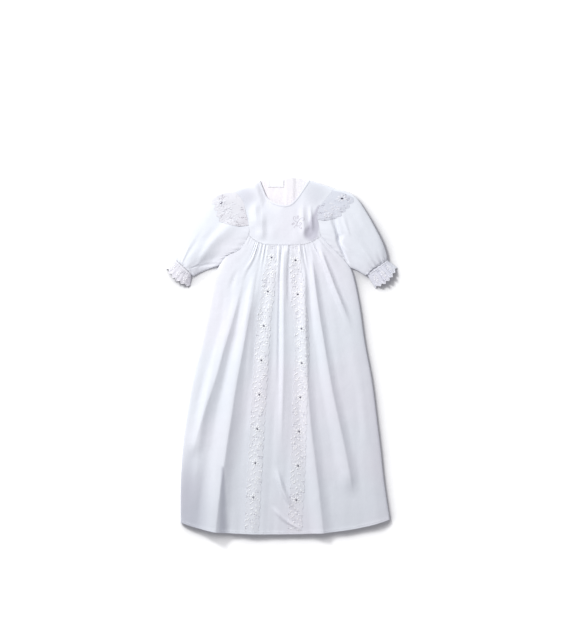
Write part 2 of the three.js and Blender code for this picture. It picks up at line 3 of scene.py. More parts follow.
import bpy
import numpy as np
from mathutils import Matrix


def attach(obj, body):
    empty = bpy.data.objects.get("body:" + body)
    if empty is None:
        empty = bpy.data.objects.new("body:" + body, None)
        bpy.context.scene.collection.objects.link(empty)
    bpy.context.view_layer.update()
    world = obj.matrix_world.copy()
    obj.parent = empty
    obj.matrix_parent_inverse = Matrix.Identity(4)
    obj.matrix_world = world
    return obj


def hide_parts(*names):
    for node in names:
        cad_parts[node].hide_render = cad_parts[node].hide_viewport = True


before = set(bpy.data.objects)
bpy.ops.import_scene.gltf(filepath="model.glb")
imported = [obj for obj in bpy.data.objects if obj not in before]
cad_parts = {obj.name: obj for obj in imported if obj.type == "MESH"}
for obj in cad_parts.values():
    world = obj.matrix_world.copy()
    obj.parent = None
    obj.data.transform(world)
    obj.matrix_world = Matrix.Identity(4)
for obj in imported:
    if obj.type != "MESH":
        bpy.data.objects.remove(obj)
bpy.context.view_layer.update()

# The view: straight down on the gown, which lies on a pale table. The photograph is 588 by 640
# pixels, 2.25 mm of the gown to a pixel, with the middle of the gown's outline at GOWN_PIXEL.
PHOTO_SIZE = (588, 640)
MM_PER_PIXEL = 2.25
GOWN_PIXEL = (281, 356)
CAMERA_HEIGHT = 3.6
SENSOR = 24


def photo_camera():
    """A camera straight above the photograph's middle, with its long side across the sensor."""
    data = bpy.data.cameras.new("camera")
    data.sensor_width = SENSOR
    data.lens = SENSOR * CAMERA_HEIGHT / (PHOTO_SIZE[1] * MM_PER_PIXEL / 1000)
    camera = bpy.data.objects.new("camera", data)
    bpy.context.collection.objects.link(camera)
    across = (PHOTO_SIZE[0] / 2 - GOWN_PIXEL[0]) * MM_PER_PIXEL / 1000
    up = (GOWN_PIXEL[1] - PHOTO_SIZE[1] / 2) * MM_PER_PIXEL / 1000
    camera.location = (across, up, CAMERA_HEIGHT)
    return camera


bpy.context.scene.camera = photo_camera()
bpy.context.scene.view_settings.view_transform = "Standard"


# The light: a broad soft lamp up and to the left, with an even pale sky that fills the shadows.
LAMP_PLACE = (-1.15, 1.4, 1.35)
LAMP = {"size": 0.45, "power": 39.5, "color": (0.995, 1, 0.985)}
SKY = {"Color": (0.96, 0.955, 1, 1), "Strength": 0.5}


def soft_lamp():
    """A square area lamp, turned to the middle of the gown."""
    data = bpy.data.lights.new("key_lamp", "AREA")
    data.size, data.energy, data.color = LAMP["size"], LAMP["power"], LAMP["color"]
    lamp = bpy.data.objects.new("key_lamp", data)
    bpy.context.collection.objects.link(lamp)
    lamp.location = LAMP_PLACE
    x, y, z = LAMP_PLACE
    lamp.rotation_euler = (math.atan2(math.hypot(x, y), z), 0, math.atan2(y, x) + math.pi / 2)


soft_lamp()
sky = bpy.data.worlds.new("sky")
sky.use_nodes = True
for key, value in SKY.items():
    sky.node_tree.nodes["Background"].inputs[key].default_value = value
bpy.context.scene.world = sky

# The table: a plain pale floor just under the gown. Away from the lamp it has more faint light of its
# own, which keeps it white to the picture's corners, as the photograph's ground is. Beside the gown, on
# the side away from the lamp, a soft shadow is painted into the floor's colour and glow.
FLOOR_HALF = 6
FLOOR_DEPTH = -0.0003
FLOOR_GLOW = {"From Min": 1.3, "From Max": 2.85, "To Min": 0.03, "To Max": 0.6}
# The painted shadow: how far its occlusion reaches, where it is full and where it is gone, the lean towards
# the lamp, and the floor's colour in full painted shadow and in the open.
FLOOR_PAINTED_SHADOW = {"reach": 0.045, "dark": 0.7, "open": 0.96}
FLOOR_LEAN = (-0.6, 0.6, 0.5)
FLOOR_PAINTED_SHADOW_COLORS = ((0.62, 0.62, 0.64, 1), (0.97, 0.97, 0.97, 1))
FLOOR_ROUGHNESS = 0.9


def new_finish(name):
    """A new material, its node tree and its shader's inputs."""
    material = bpy.data.materials.new(name)
    material.use_nodes = True
    return material, material.node_tree, material.node_tree.nodes["Principled BSDF"].inputs


def give(tree, socket, value):
    """Links an output to a socket, or sets the socket's own value."""
    if isinstance(value, bpy.types.NodeSocket):
        tree.links.new(value, socket)
    else:
        socket.default_value = value


def add_node(tree, kind, inputs=None, **settings):
    """A shader node with its settings. Inputs go by name or number, each a value or another's output."""
    node = tree.nodes.new("ShaderNode" + kind)
    for setting, value in settings.items():
        setattr(node, setting, value)
    for key, value in (inputs or {}).items():
        give(tree, node.inputs[key], value)
    return node


def maths(tree, operation, a, b=0):
    """The output of one sum with two values or outputs."""
    return add_node(tree, "Math", {0: a, 1: b}, operation=operation).outputs[0]


def ranged(tree, value, low, high):
    """0 where a value is at low and 1 where it is at high, in a straight line between them."""
    return add_node(tree, "MapRange", {"Value": value, "From Min": low, "From Max": high}).outputs[0]


def mixed(tree, factor, a, b, blend="MIX"):
    """A colour between a and b, or a multiplied by b."""
    inputs = {"Factor": factor, "A": a, "B": b}
    return add_node(tree, "Mix", inputs, data_type="RGBA", blend_type=blend).outputs["Result"]


def pale_floor():
    """A square floor with a white finish that glows by the distance from the lamp's foot. Where the gown
    hides the lamp's side of the sky from it, a shadow is painted: it is darker and glows less."""
    mesh = bpy.data.meshes.new("floor")
    square = ((-1, -1), (1, -1), (1, 1), (-1, 1))
    corners = [(x * FLOOR_HALF, y * FLOOR_HALF, FLOOR_DEPTH) for x, y in square]
    mesh.from_pydata(corners, [], [(0, 1, 2, 3)])
    floor = bpy.data.objects.new("floor", mesh)
    bpy.context.collection.objects.link(floor)
    material, tree, shader = new_finish("pale_table")
    place = add_node(tree, "TexCoord").outputs["Object"]
    foot = (LAMP_PLACE[0], LAMP_PLACE[1], 0)
    reach = add_node(tree, "VectorMath", {0: place, 1: foot}, operation="DISTANCE")
    glow = add_node(tree, "MapRange", {"Value": reach.outputs["Value"], **FLOOR_GLOW})
    lean = add_node(tree, "CombineXYZ", dict(enumerate(FLOOR_LEAN)))
    near = add_node(tree, "AmbientOcclusion", {"Distance": FLOOR_PAINTED_SHADOW["reach"], "Normal": lean.outputs[0]})
    outside_painted_shadow = ranged(tree, near.outputs["AO"], FLOOR_PAINTED_SHADOW["dark"], FLOOR_PAINTED_SHADOW["open"])
    shader["Roughness"].default_value = FLOOR_ROUGHNESS
    shader["Emission Color"].default_value = (1, 1, 1, 1)
    give(tree, shader["Base Color"], mixed(tree, outside_painted_shadow, *FLOOR_PAINTED_SHADOW_COLORS))
    give(tree, shader["Emission Strength"], maths(tree, "MULTIPLY", glow.outputs[0], outside_painted_shadow))
    mesh.materials.append(material)
    return floor


pale_floor()

# The front skirt is one long panel of white cotton batiste, gathered into the waist seam and sewn
# to the back along its sides. It lies over the back with soft folds that run down from the gathers.
# Its sizes are in millimetres, as the solids' are.
#
# WALL is how thick the solids' cloth is and CLOTH the cloth that shows. The heights over the table are
# of a cloth's edge, of the side seams and of the gown's body, and the next three round off its sides.
MM = 0.001
WALL = 1.5
CLOTH = 0.9
EDGE_HEIGHT = 3.3
SEAM_LEVEL = 1.8
BODY_HEIGHT = 9.6
SIDE_ROUND = 38
SIDE_TURN = 16
SIDE_BULK = 1.6
SIDE_SEAM = (1, 5)
SKIRT_COLUMNS = (15, 3, 7, 3, 15)
SKIRT_CELLS = sum(SKIRT_COLUMNS)
SKIRT_GRID = (180, 264)
SEAM_Y = 249
HEM_Y = -400
ARMHOLE_DOWN = 3 / 11
ROW_BOW = 3
SHARP_EDGE = 72

# A column for each section from the waist seam to the hem, a size for each in a row.
SKIRT = {
    "left": (-73, -92, -122, -138, -150, -162, -178, -198, -212, -220, -225, -225),
    "leftY": (272, 240, 224, 204, 173, 110, 32, -54, -140, -205, -290, -374),
    "right": (90, 119, 140, 156, 165, 177, 188, 204, 215, 223, 232, 244),
    "rightY": (270, 238, 218, 198, 171, 110, 32, -54, -140, -205, -287, -367),
    "middleY": (249, 212, 178, 148, 124, 76, 9, -72, -155, -228, -314, -400),
    "laceL": (-19, -22, -26, -29, -32, -38, -43, -48, -53, -57, -62, -66),
    "laceR": (32, 33, 35, 37, 39, 45, 47, 44, 41, 39, 35, 29),
    "lace": (21, 25, 28, 30, 31, 32, 33, 34, 34, 34, 34, 34),
    "edge": (9.6, 9.6, 7, 3.3, 3.3, 3.3, 3.3, 3.3, 3.3, 3.3, 3.3, 3.3),
}

# The large folds, each a ridge from startY down to endY through three places across. The flanks'
# widths and the height change down the fold; rise and fall are the shares over which it fades. A
# crisp fold turns over sharply at its crest and drops away on its right.
FOLD_KEYS = ("startY", "endY", "x", "left", "right", "high", "rise", "fall", "crisp")
SKIRT_FOLDS = {
    "left side": (170, -420, (-118, -168, -208), (30, 24), (32, 56), (3, 3), 0.3, 0.02, 0.2),
    "left short": (190, -235, (-84, -138, -200), (24, 34), (22, 30), (6, 9), 0.25, 0.1, 0.8),
    "left long": (215, -425, (-54, -106, -148), (22, 52), (24, 45), (7, 19), 0.2, 0.01, 0.9),
    "under the left lace": (225, -425, (-20, -42, -60), (16, 28), (12, 34), (1.5, 2.5), 0.2, 0.01, 0.3),
    "left of the middle": (215, -120, (-2, -4, -5), (5, 7), (5, 6), (-3, -2), 0.2, 0.5, 0.5),
    "middle": (245, -255, (6, 6, 2), (10, 12), (12, 27), (2.5, 6.5), 0.1, 0.35, 0.8),
    "right of the lace": (240, -425, (54, 62, 97), (16, 34), (12, 27), (5, 10), 0.15, 0.01, 1),
    "right long": (250, -320, (68, 108, 162), (14, 36), (12, 25), (7, 10), 0.15, 0.1, 1),
    "right short": (262, 55, (86, 120, 159), (12, 16), (9, 14), (8, 7), 0.2, 0.35, 1),
    "right side": (160, -420, (150, 192, 224), (26, 40), (20, 20), (2, 3), 0.3, 0.02, 0.2),
    "low diagonal": (-248, -352, (-8, 6, 30), (13, 14), (9, 11), (7, 7), 0.4, 0.4, 1),
    "low cross": (-334, -394, (-18, 6, 46), (12, 12), (10, 10), (4.5, 4.5), 0.4, 0.3, 0.7),
}
GATHERS = {"count": 11, "high": 1.9, "peak": 16, "fade": 95, "seam": 0.35}
FINE_GATHERS = {"count": 27, "high": 0.6, "fade": 46, "start": 0.05}
# How uneven the gathers are: an amount, the number of its soft steps across and its seed.
GATHER_SHIFT = (0.045, 18, 5)
GATHER_UNEVEN = (1.8, 16, 8)
GATHER_PATCHY = (2.4, 23, 9)
GATHER_RAGGED = (1.5, 19, 10)
SKIRT_RIPPLE = {"across": 34, "down": 7, "high": 0.9, "seed": 11}
HEM = {"deep": 6, "step": 2, "raise": 0.8}

# The armholes from the tip of the shoulder to the underarm. The first share is the yoke's.
ARMHOLES = {
    "left": (
        (-106, 372), (-86, 349), (-79, 322), (-74, 299), (-73, 272), (-92, 240), (-122, 224), (-138, 204),
    ),
    "right": (
        (119, 377), (100, 351), (86, 335), (81, 313), (86, 291), (90, 270), (119, 238), (140, 218),
        (156, 198),
    ),
}
YOKE_SHARES = {"left": 4 / 7, "right": 5 / 8}


def through(values, t):
    """A smooth value through evenly spaced stations: Catmull-Rom between the two nearest, t from 0 to 1."""
    stations = np.asarray(values, float)
    place = np.clip(t, 0, 1) * (len(stations) - 1)
    i = np.minimum(place.astype(int), len(stations) - 2)
    f = place - i
    if stations.ndim == 2:
        f = f[..., None]
    a, b, c, d = (stations[np.clip(i + step, 0, len(stations) - 1)] for step in (-1, 0, 1, 2))
    return b + 0.5 * f * (c - a + f * (2 * a - 5 * b + 4 * c - d + f * (3 * (b - c) + d - a)))


def ease(value, low, high):
    """Smoothstep: 0 below low and 1 above high."""
    t = np.clip((value - low) / (high - low), 0, 1)
    return t * t * (3 - 2 * t)


def mix(a, b, t):
    """The value t of the way from a to b."""
    return a + (b - a) * t


def fold_height(folds, x, y):
    """The sum of cosine ridges: each is 1 on its crest and 0 a flank's width away, and fades at its
    ends. The right flank of a crisp one falls as (1 - share)^2 instead."""
    total = np.zeros(np.broadcast(x, y).shape)
    for values in folds.values():
        fold = dict(zip(FOLD_KEYS, values))
        t = (fold["startY"] - y) / (fold["startY"] - fold["endY"])
        inside = (t > 0) & (t < 1)
        t = np.clip(t, 0, 1)
        off = x - through(fold["x"], t)
        flank = np.where(off < 0, mix(*fold["left"], t), mix(*fold["right"], t))
        ends = ease(t, 0, fold["rise"]) * ease(1 - t, 0, fold["fall"])
        share = np.clip(np.abs(off) / flank, 0, 1)
        crisp = np.where(off > 0, fold["crisp"], 0)
        ridge = mix(0.5 + 0.5 * np.cos(np.pi * share), (1 - share) ** 2, crisp)
        total = total + inside * mix(*fold["high"], t) * ends * ridge
    return total


def ripple(u, v, across, down, seed):
    """Soft noise: random heights on a coarse grid, eased between its points; u and v run from 0 to 1."""
    heights = np.random.default_rng(seed).normal(size=(down + 2, across + 2))
    a, b = np.clip(u, 0, 1) * across, np.clip(v, 0, 1) * down
    i, j = a.astype(int), b.astype(int)
    s, t = ease(a - i, 0, 1), ease(b - j, 0, 1)
    upper = mix(heights[j, i], heights[j, i + 1], s)
    lower = mix(heights[j + 1, i], heights[j + 1, i + 1], s)
    return mix(upper, lower, t) * 0.5


def creases(u, v, sizes):
    """Soft creases: the noise with its steps across and down, its height and its seed."""
    return sizes["high"] * ripple(u, v, sizes["across"], sizes["down"], sizes["seed"])


def skirt_size(key, v):
    """One of the skirt's sizes at a share of the way down."""
    return through(SKIRT[key], v)


def skirt_edge(side, v):
    """An end of a skirt section: on the armhole above the underarm and on the side seam below it."""
    share = YOKE_SHARES[side]
    upper = through(ARMHOLES[side], mix(share, 1, np.clip(v / ARMHOLE_DOWN, 0, 1)))
    lower = np.stack([skirt_size(side, v), skirt_size(side + "Y", v)], -1)
    edge = np.where((v < ARMHOLE_DOWN)[..., None], upper, lower)
    return edge[..., 0], edge[..., 1]


def skirt_plan(u, v):
    """Where the skirt lies: x steps evenly between the sides and the lace bands, y bows up to the sides."""
    left, left_y = skirt_edge("left", v)
    right, right_y = skirt_edge("right", v)
    half = skirt_size("lace", v) / 2
    lace_l, lace_r = skirt_size("laceL", v), skirt_size("laceR", v)
    knots = (left, lace_l - half, lace_l + half, lace_r - half, lace_r + half, right)
    shares = np.concatenate([[0], np.cumsum(SKIRT_COLUMNS)]) / SKIRT_CELLS
    x = left * 1.0
    for k in range(len(SKIRT_COLUMNS)):
        part = np.clip((u - shares[k]) / (shares[k + 1] - shares[k]), 0, 1)
        x = x + part * (knots[k + 1] - knots[k])
    middle = skirt_size("middleY", v)
    y = middle + (mix(left_y, right_y, u) - middle) * np.abs(2 * u - 1) ** ROW_BOW
    return x, y, left, right


def unevenness(u, amount, steps, seed):
    """Soft noise across the gathers."""
    return amount * ripple(u, u * 0, steps, 1, seed)


def gather_height(u, below):
    """Cosine waves under the seam, highest a little below it, with finer uneven ones between them."""
    rise = mix(GATHERS["seam"], 1, ease(below, 0, GATHERS["peak"]))
    fall = 1 - ease(below, GATHERS["peak"], GATHERS["fade"])
    turn = 2 * np.pi * (u + unevenness(u, *GATHER_SHIFT))
    uneven = np.clip(1 + unevenness(u, *GATHER_UNEVEN), 0.1, 2)
    large = 0.5 * GATHERS["high"] * uneven * (1 + np.cos(GATHERS["count"] * turn))
    patchy = np.clip(1 + unevenness(u, *GATHER_PATCHY), 0, 2)
    fine = FINE_GATHERS["high"] * patchy * np.cos(FINE_GATHERS["count"] * turn)
    reach = FINE_GATHERS["fade"] * np.clip(1 + unevenness(u, *GATHER_RAGGED), 0.5, 1.8)
    return rise * (fall * large + (1 - ease(below / reach, FINE_GATHERS["start"], 1)) * fine)


def skirt_face(u, v):
    """The outer face of the front skirt: a body that comes down to the sides, its folds and gathers."""
    x, y, left, right = skirt_plan(u, v)
    inward = ease(np.minimum(x - left, right - x), 0, SIDE_ROUND)
    below = skirt_plan(u, v * 0)[1] - y
    turn = 1 - np.clip(np.minimum(x - left, right - x) / SIDE_TURN, 0, 1)
    edge = np.minimum(skirt_size("edge", v), BODY_HEIGHT)
    body = mix(np.minimum(edge + SIDE_BULK, BODY_HEIGHT), BODY_HEIGHT, np.sqrt(1 - turn**2))
    folds = fold_height(SKIRT_FOLDS, x, y) + creases(u, v, SKIRT_RIPPLE)
    return np.stack([x, y, body + inward * folds + gather_height(u, below)], -1)


def down_share(y):
    """The share of the way down at which the skirt's middle line is at y."""
    shares = np.linspace(0, 1, 400)
    return np.interp(-np.asarray(y, float), -skirt_size("middleY", shares), shares)


def unit_grid(rows, columns):
    """Two arrays of shares from 0 to 1: across the columns and down the rows."""
    return np.meshgrid(np.linspace(0, 1, columns + 1), np.linspace(0, 1, rows + 1))


def run_length(points, axis=0):
    """How far along a path, or with axis 1 along each row of a grid, its points are."""
    steps = np.linalg.norm(np.diff(points, axis=axis), axis=-1)
    return np.insert(np.cumsum(steps, axis), 0, 0, axis)


def grid_uv(face):
    """A UV map in metres: along each row from the middle column, and down that column."""
    middle = face.shape[1] // 2
    across, down = run_length(face, 1), run_length(face[:, middle])
    across = across - across[:, middle, None]
    return np.stack([across, np.broadcast_to(-down[:, None], across.shape)], -1) * MM


def outward(points, *groups):
    """The faces of a closed mesh, all turned round if they would face inwards: then the sum over
    their triangles of a . (b x c), which is six times the volume, is negative."""
    volume = 0
    for faces in groups:
        for k in range(1, faces.shape[1] - 1):
            a, b, c = (points[faces[:, i]] for i in (0, k, k + 1))
            volume += np.sum(a * np.cross(b, c))
    step = 1 if volume > 0 else -1
    return [face for faces in groups for face in faces[:, ::step].tolist()]


def cloth_uv(mesh, uv, smooth=True):
    """The mesh with a UV map from one pair for each of its points."""
    layer = mesh.uv_layers.new(name="cloth")
    loops = np.empty(len(mesh.loops), int)
    mesh.loops.foreach_get("vertex_index", loops)
    layer.data.foreach_set("uv", uv[loops].ravel().astype(np.float32))
    mesh.polygons.foreach_set("use_smooth", np.full(len(mesh.polygons), smooth))
    return mesh


def wall_mesh(name, outer, inner, uv, around=False):
    """A closed mesh from two grids of points in millimetres, joined at their rims. A grid that runs
    around has its last column next to its first."""
    rows, columns = outer.shape[:2]
    under = rows * columns
    index = np.arange(under).reshape(rows, columns)
    if around:
        index = np.concatenate([index, index[:, :1]], 1)
    a, b, c, d = index[:-1, :-1], index[1:, :-1], index[1:, 1:], index[:-1, 1:]
    faces = [np.stack([a, b, c, d], -1).reshape(-1, 4), np.stack([d, c, b, a], -1).reshape(-1, 4) + under]
    runs = [index[0], index[-1, ::-1]]
    runs += [] if around else [index[::-1, 0], index[:, -1]]
    for run in runs:
        faces.append(np.stack([run[:-1], run[1:], run[1:] + under, run[:-1] + under], -1))
    points = np.concatenate([outer.reshape(-1, 3), inner.reshape(-1, 3)]) * MM
    mesh = bpy.data.meshes.new(name)
    mesh.from_pydata(points.tolist(), [], outward(points, np.concatenate(faces)))
    cloth_uv(mesh, np.concatenate([uv.reshape(-1, 2)] * 2))
    mesh.set_sharp_from_angle(angle=math.radians(SHARP_EDGE))
    return mesh


def dressed(name, mesh, material, slot, *nodes):
    """The mesh as a piece of the gown: it has a finish and stands for the solids that it covers."""
    mesh.materials.append(material)
    piece = bpy.data.objects.new(name, mesh)
    bpy.context.collection.objects.link(piece)
    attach(piece, "root")
    if nodes:
        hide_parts(*nodes)
    return piece


def new_group(name, inputs, outputs):
    """A node group of numbers: the group, what its inputs give and what its outputs take."""
    group = bpy.data.node_groups.new(name, "ShaderNodeTree")
    kind = "NodeSocketFloat"
    for socket, value in inputs.items():
        group.interface.new_socket(socket, in_out="INPUT", socket_type=kind).default_value = value
    for socket in outputs:
        group.interface.new_socket(socket, in_out="OUTPUT", socket_type=kind)
    return group, group.nodes.new("NodeGroupInput").outputs, group.nodes.new("NodeGroupOutput").inputs


def weave_group():
    """Crossed threads from two sine waves along the UV map's axes, uneven from a soft noise."""
    group, given, made = new_group("weave", {"Threads": 900, "Slub": 0.5}, ("Height",))
    place = add_node(group, "UVMap", uv_map="cloth").outputs[0]
    slub = add_node(group, "TexNoise", {"Vector": place, "Scale": 160, "Detail": 3}).outputs["Fac"]
    split = add_node(group, "SeparateXYZ", {0: place})
    turns = maths(group, "MULTIPLY", given["Threads"], 2 * math.pi)
    wobble = maths(group, "MULTIPLY", slub, 3)
    waves = []
    for axis in ("X", "Y"):
        turned = maths(group, "MULTIPLY", split.outputs[axis], turns)
        waves.append(maths(group, "SINE", maths(group, "ADD", turned, wobble)))
    threads = maths(group, "MULTIPLY", maths(group, "MULTIPLY", *waves), 0.3)
    uneven = maths(group, "MULTIPLY", slub, given["Slub"])
    give(group, made["Height"], maths(group, "ADD", threads, uneven))
    return group


WEAVE = weave_group()


def cloth_finish(name, light, dark, threads, bump, sheen, roughness=0.85, crumple=0.35):
    """Woven cotton: a colour that varies softly, thread and crumple bumps, and a faint sheen."""
    material, tree, shader = new_finish(name)
    shader["Roughness"].default_value = roughness
    shader["Sheen Weight"].default_value = sheen
    shader["Sheen Roughness"].default_value = 0.4
    place = add_node(tree, "TexCoord").outputs["Object"]
    cloud = add_node(tree, "TexNoise", {"Vector": place, "Scale": 26, "Detail": 4}).outputs["Fac"]
    tint = mixed(tree, cloud, (*dark, 1), (*light, 1))
    patches = add_node(tree, "TexNoise", {"Vector": place, "Scale": 5, "Detail": 1}).outputs["Fac"]
    warmth = mixed(tree, ranged(tree, patches, 0.42, 0.6), (0.985, 1, 1, 1), (1.01, 0.992, 1, 1))
    give(tree, shader["Base Color"], mixed(tree, 1, tint, warmth, "MULTIPLY"))
    weave = add_node(tree, "Group", {"Threads": threads}, node_tree=WEAVE)
    normal = None
    for distance, strength, height in ((0.004, crumple, cloud), (0.0004, bump, weave.outputs["Height"])):
        relief = {"Distance": distance, "Strength": strength, "Height": height}
        relief.update({"Normal": normal} if normal else {})
        normal = add_node(tree, "Bump", relief).outputs["Normal"]
    give(tree, shader["Normal"], normal)
    return material


BATISTE_LOOK = ((0.84, 0.858, 0.918), (0.8, 0.817, 0.878), 900, 0.25, 0.15)
BATISTE = cloth_finish("white_batiste", *BATISTE_LOOK)


def painted_shade_finish(name, painted_shade):
    """The batiste darkened towards a painted shade colour where the mesh's shade attribute is high."""
    material = cloth_finish(name, *BATISTE_LOOK)
    tree = material.node_tree
    color = tree.nodes["Principled BSDF"].inputs["Base Color"]
    given = add_node(tree, "Attribute", attribute_name="painted_shade").outputs["Fac"]
    give(tree, color, mixed(tree, given, color.links[0].from_socket, (*painted_shade, 1), "MULTIPLY"))
    return material


def set_painted_shade(mesh, values):
    """Stores the painted shade for both layers of a wall mesh."""
    painted_shade = mesh.attributes.new("painted_shade", "FLOAT", "POINT")
    painted_shade.data.foreach_set("value", np.tile(values.ravel(), 2).astype(np.float32))


def line_painted_shade(points, line, core):
    """A mask for painted shade: 1 near a line and 0 a radius away from it. The line has a place and a
    radius at both ends.
    """
    (x0, y0, first), (x1, y1, last) = line
    x, y = points[..., 0] - x0, points[..., 1] - y0
    run_x, run_y = x1 - x0, y1 - y0
    along = np.clip((x * run_x + y * run_y) / (run_x**2 + run_y**2), 0, 1)
    off = np.hypot(x - along * run_x, y - along * run_y)
    return 1 - ease(off / mix(first, last, along), core, 1)


# A shade is painted on the skirt's low left corner, and on the deep fold beside it at the hem.
CORNER_PAINTED_SHADE = {"x": -218, "y": -350, "across": 78, "down": 160, "fade": (0.2, 1.1)}
FOLD_PAINTED_SHADE = ((-130, -392, 17), (-130, -250, 5))
FOLD_CORE = 0.1
SKIRT_PAINTED_SHADE_COLOR = (0.72, 0.72, 0.75)


def skirt_painted_shade(points):
    """How deep the painted shade is: 1 in the middle of the low corner and along the fold."""
    off_x = (points[..., 0] - CORNER_PAINTED_SHADE["x"]) / CORNER_PAINTED_SHADE["across"]
    off_y = (points[..., 1] - CORNER_PAINTED_SHADE["y"]) / CORNER_PAINTED_SHADE["down"]
    corner = 1 - ease(np.hypot(off_x, off_y), *CORNER_PAINTED_SHADE["fade"])
    return np.maximum(corner, line_painted_shade(points, FOLD_PAINTED_SHADE, FOLD_CORE))


def front_skirt():
    """The skirt's grid, with even rows down the middle, and a narrow rolled hem along its last rows."""
    u, down = unit_grid(*SKIRT_GRID)
    face = skirt_face(u, down_share(mix(SEAM_Y, HEM_Y, down)))
    above = face[..., 1] - skirt_plan(u, u * 0 + 1)[1]
    face[..., 2] += HEM["raise"] * (1 - ease(above, HEM["deep"] - HEM["step"], HEM["deep"]))
    return face


def under_skirt(face):
    """The inner face: a wall's depth under the outer one, and down to the back at the side seams."""
    left, right = face[:, :1, 0], face[:, -1:, 0]
    seam = 1 - ease(np.minimum(face[..., 0] - left, right - face[..., 0]), *SIDE_SEAM)
    inner = face - (0, 0, CLOTH)
    z = inner[..., 2]
    inner[..., 2] = np.where(z < 2 * EDGE_HEIGHT, mix(z, SEAM_LEVEL, seam), z)
    return inner


skirt_points = front_skirt()
skirt_mesh = wall_mesh("front_skirt", skirt_points, under_skirt(skirt_points), grid_uv(skirt_points))
set_painted_shade(skirt_mesh, skirt_painted_shade(skirt_points))
SKIRT_PAINTED_SHADE_FINISH = painted_shade_finish("skirt_batiste_painted_shade", SKIRT_PAINTED_SHADE_COLOR)
skirt_piece = dressed("front_skirt", skirt_mesh, SKIRT_PAINTED_SHADE_FINISH, "batiste", "skirt_front")


# The embroidery on the lace is white satin stitch: raised petals, leaves and cords. The beads at the
# flowers' hearts are small grey glass stones, sewn on. All of them lie on the cloth under them.
DOME_AROUND = 10
DOME_RINGS = (1, 0.8, 0.45)
SUNK = 0.3


def dome_mesh(name, place, across, down, length, width, turn, high, flat=False):
    """Closed low domes on a surface, joined as one mesh. Each is an ellipse of length by width turned
    by turn about its centre (across, down), and h * sqrt(1 - r^2) high; place gives the surface's
    point for two arrays in millimetres."""
    across, down, length, width, turn, high = (
        np.ravel(a)[:, None] * 1.0 for a in np.broadcast_arrays(across, down, length, width, turn, high)
    )
    phi = np.arange(DOME_AROUND) * 2 * np.pi / DOME_AROUND
    r = np.concatenate([np.repeat(DOME_RINGS, DOME_AROUND), [0, 0]])[None, :]
    phi = np.concatenate([np.tile(phi, len(DOME_RINGS)), [0, 0]])[None, :]
    p, q = r * np.cos(phi) * length / 2, r * np.sin(phi) * width / 2
    rise = high * np.sqrt(1 - r**2)
    rise[:, -1] = 0
    points = place(across + p * np.cos(turn) - q * np.sin(turn), down + p * np.sin(turn) + q * np.cos(turn))
    points[..., 2] += rise - SUNK
    ring = np.arange(DOME_AROUND)
    beside = (ring + 1) % DOME_AROUND
    quads = [np.stack([ring, beside, beside + DOME_AROUND, ring + DOME_AROUND], -1) + k * DOME_AROUND
             for k in range(len(DOME_RINGS) - 1)]
    inner = (len(DOME_RINGS) - 1) * DOME_AROUND
    top = inner + DOME_AROUND
    fans = np.concatenate([
        np.stack([ring + inner, beside + inner, ring * 0 + top], -1),
        np.stack([beside, ring, ring * 0 + top + 1], -1),
    ])
    step = np.arange(len(points))[:, None, None] * (top + 2)
    flat_points = points.reshape(-1, 3) * MM
    sides = (np.concatenate(quads)[None] + step).reshape(-1, 4)
    faces = outward(flat_points, sides, (fans[None] + step).reshape(-1, 3))
    mesh = bpy.data.meshes.new(name)
    mesh.from_pydata(flat_points.tolist(), [], faces)
    return cloth_uv(mesh, np.stack([p, q], -1).reshape(-1, 2) * MM, not flat)


def cord_mesh(name, paths, radius, sides=6):
    """Round closed cords along paths in millimetres: a ring of points about each point of a path,
    square to the path there, and a flat end at both ends."""
    points, quads, ends, uvs, first = [], [], [], [], 0
    phi = np.arange(sides) * 2 * np.pi / sides
    for path in paths:
        run = np.gradient(path, axis=0)
        run /= np.linalg.norm(run, axis=1)[:, None]
        beside = np.cross(run, (0.0, 0.0, 1.0))
        beside /= np.linalg.norm(beside, axis=1)[:, None]
        above = np.cross(beside, run)
        ring = np.cos(phi)[:, None] * beside[:, None] + np.sin(phi)[:, None] * above[:, None]
        points.append((path[:, None] + radius * ring).reshape(-1, 3))
        index = first + np.arange(len(path) * sides).reshape(-1, sides)
        turned = np.roll(index, -1, 1)
        quads.append(np.stack([index[:-1], turned[:-1], turned[1:], index[1:]], -1).reshape(-1, 4))
        ends += [index[0, ::-1], index[-1]]
        along = run_length(path)[:, None]
        uvs.append(np.stack(np.broadcast_arrays(phi[None] * radius, along), -1).reshape(-1, 2))
        first += len(path) * sides
    points = np.concatenate(points) * MM
    mesh = bpy.data.meshes.new(name)
    mesh.from_pydata(points.tolist(), [], outward(points, np.concatenate(quads), np.array(ends)))
    return cloth_uv(mesh, np.concatenate(uvs) * MM)


def dome_rows(parts):
    """Each part gives across, down, length, width, turn and height for its domes, as arrays that fit
    each other. The same six for all the domes together."""
    spread = [np.broadcast_arrays(*part) for part in parts]
    return [np.concatenate([part[k].ravel() for part in spread]) for k in range(6)]


def sewn_domes(name, place, rows, finish):
    """Domes as a piece."""
    return dressed(name, dome_mesh(name, place, *rows), finish, "lace")


def sewn_cords(name, paths, radius, finish):
    """Cords as a piece."""
    return dressed(name, cord_mesh(name, paths, radius), finish, "lace")


GLASS_STOPS = ((0.35, (0.03, 0.03, 0.05, 1)), (0.75, (0.3, 0.28, 0.36, 1)))
BEAD = {"wide": 3.8, "high": 2.4}


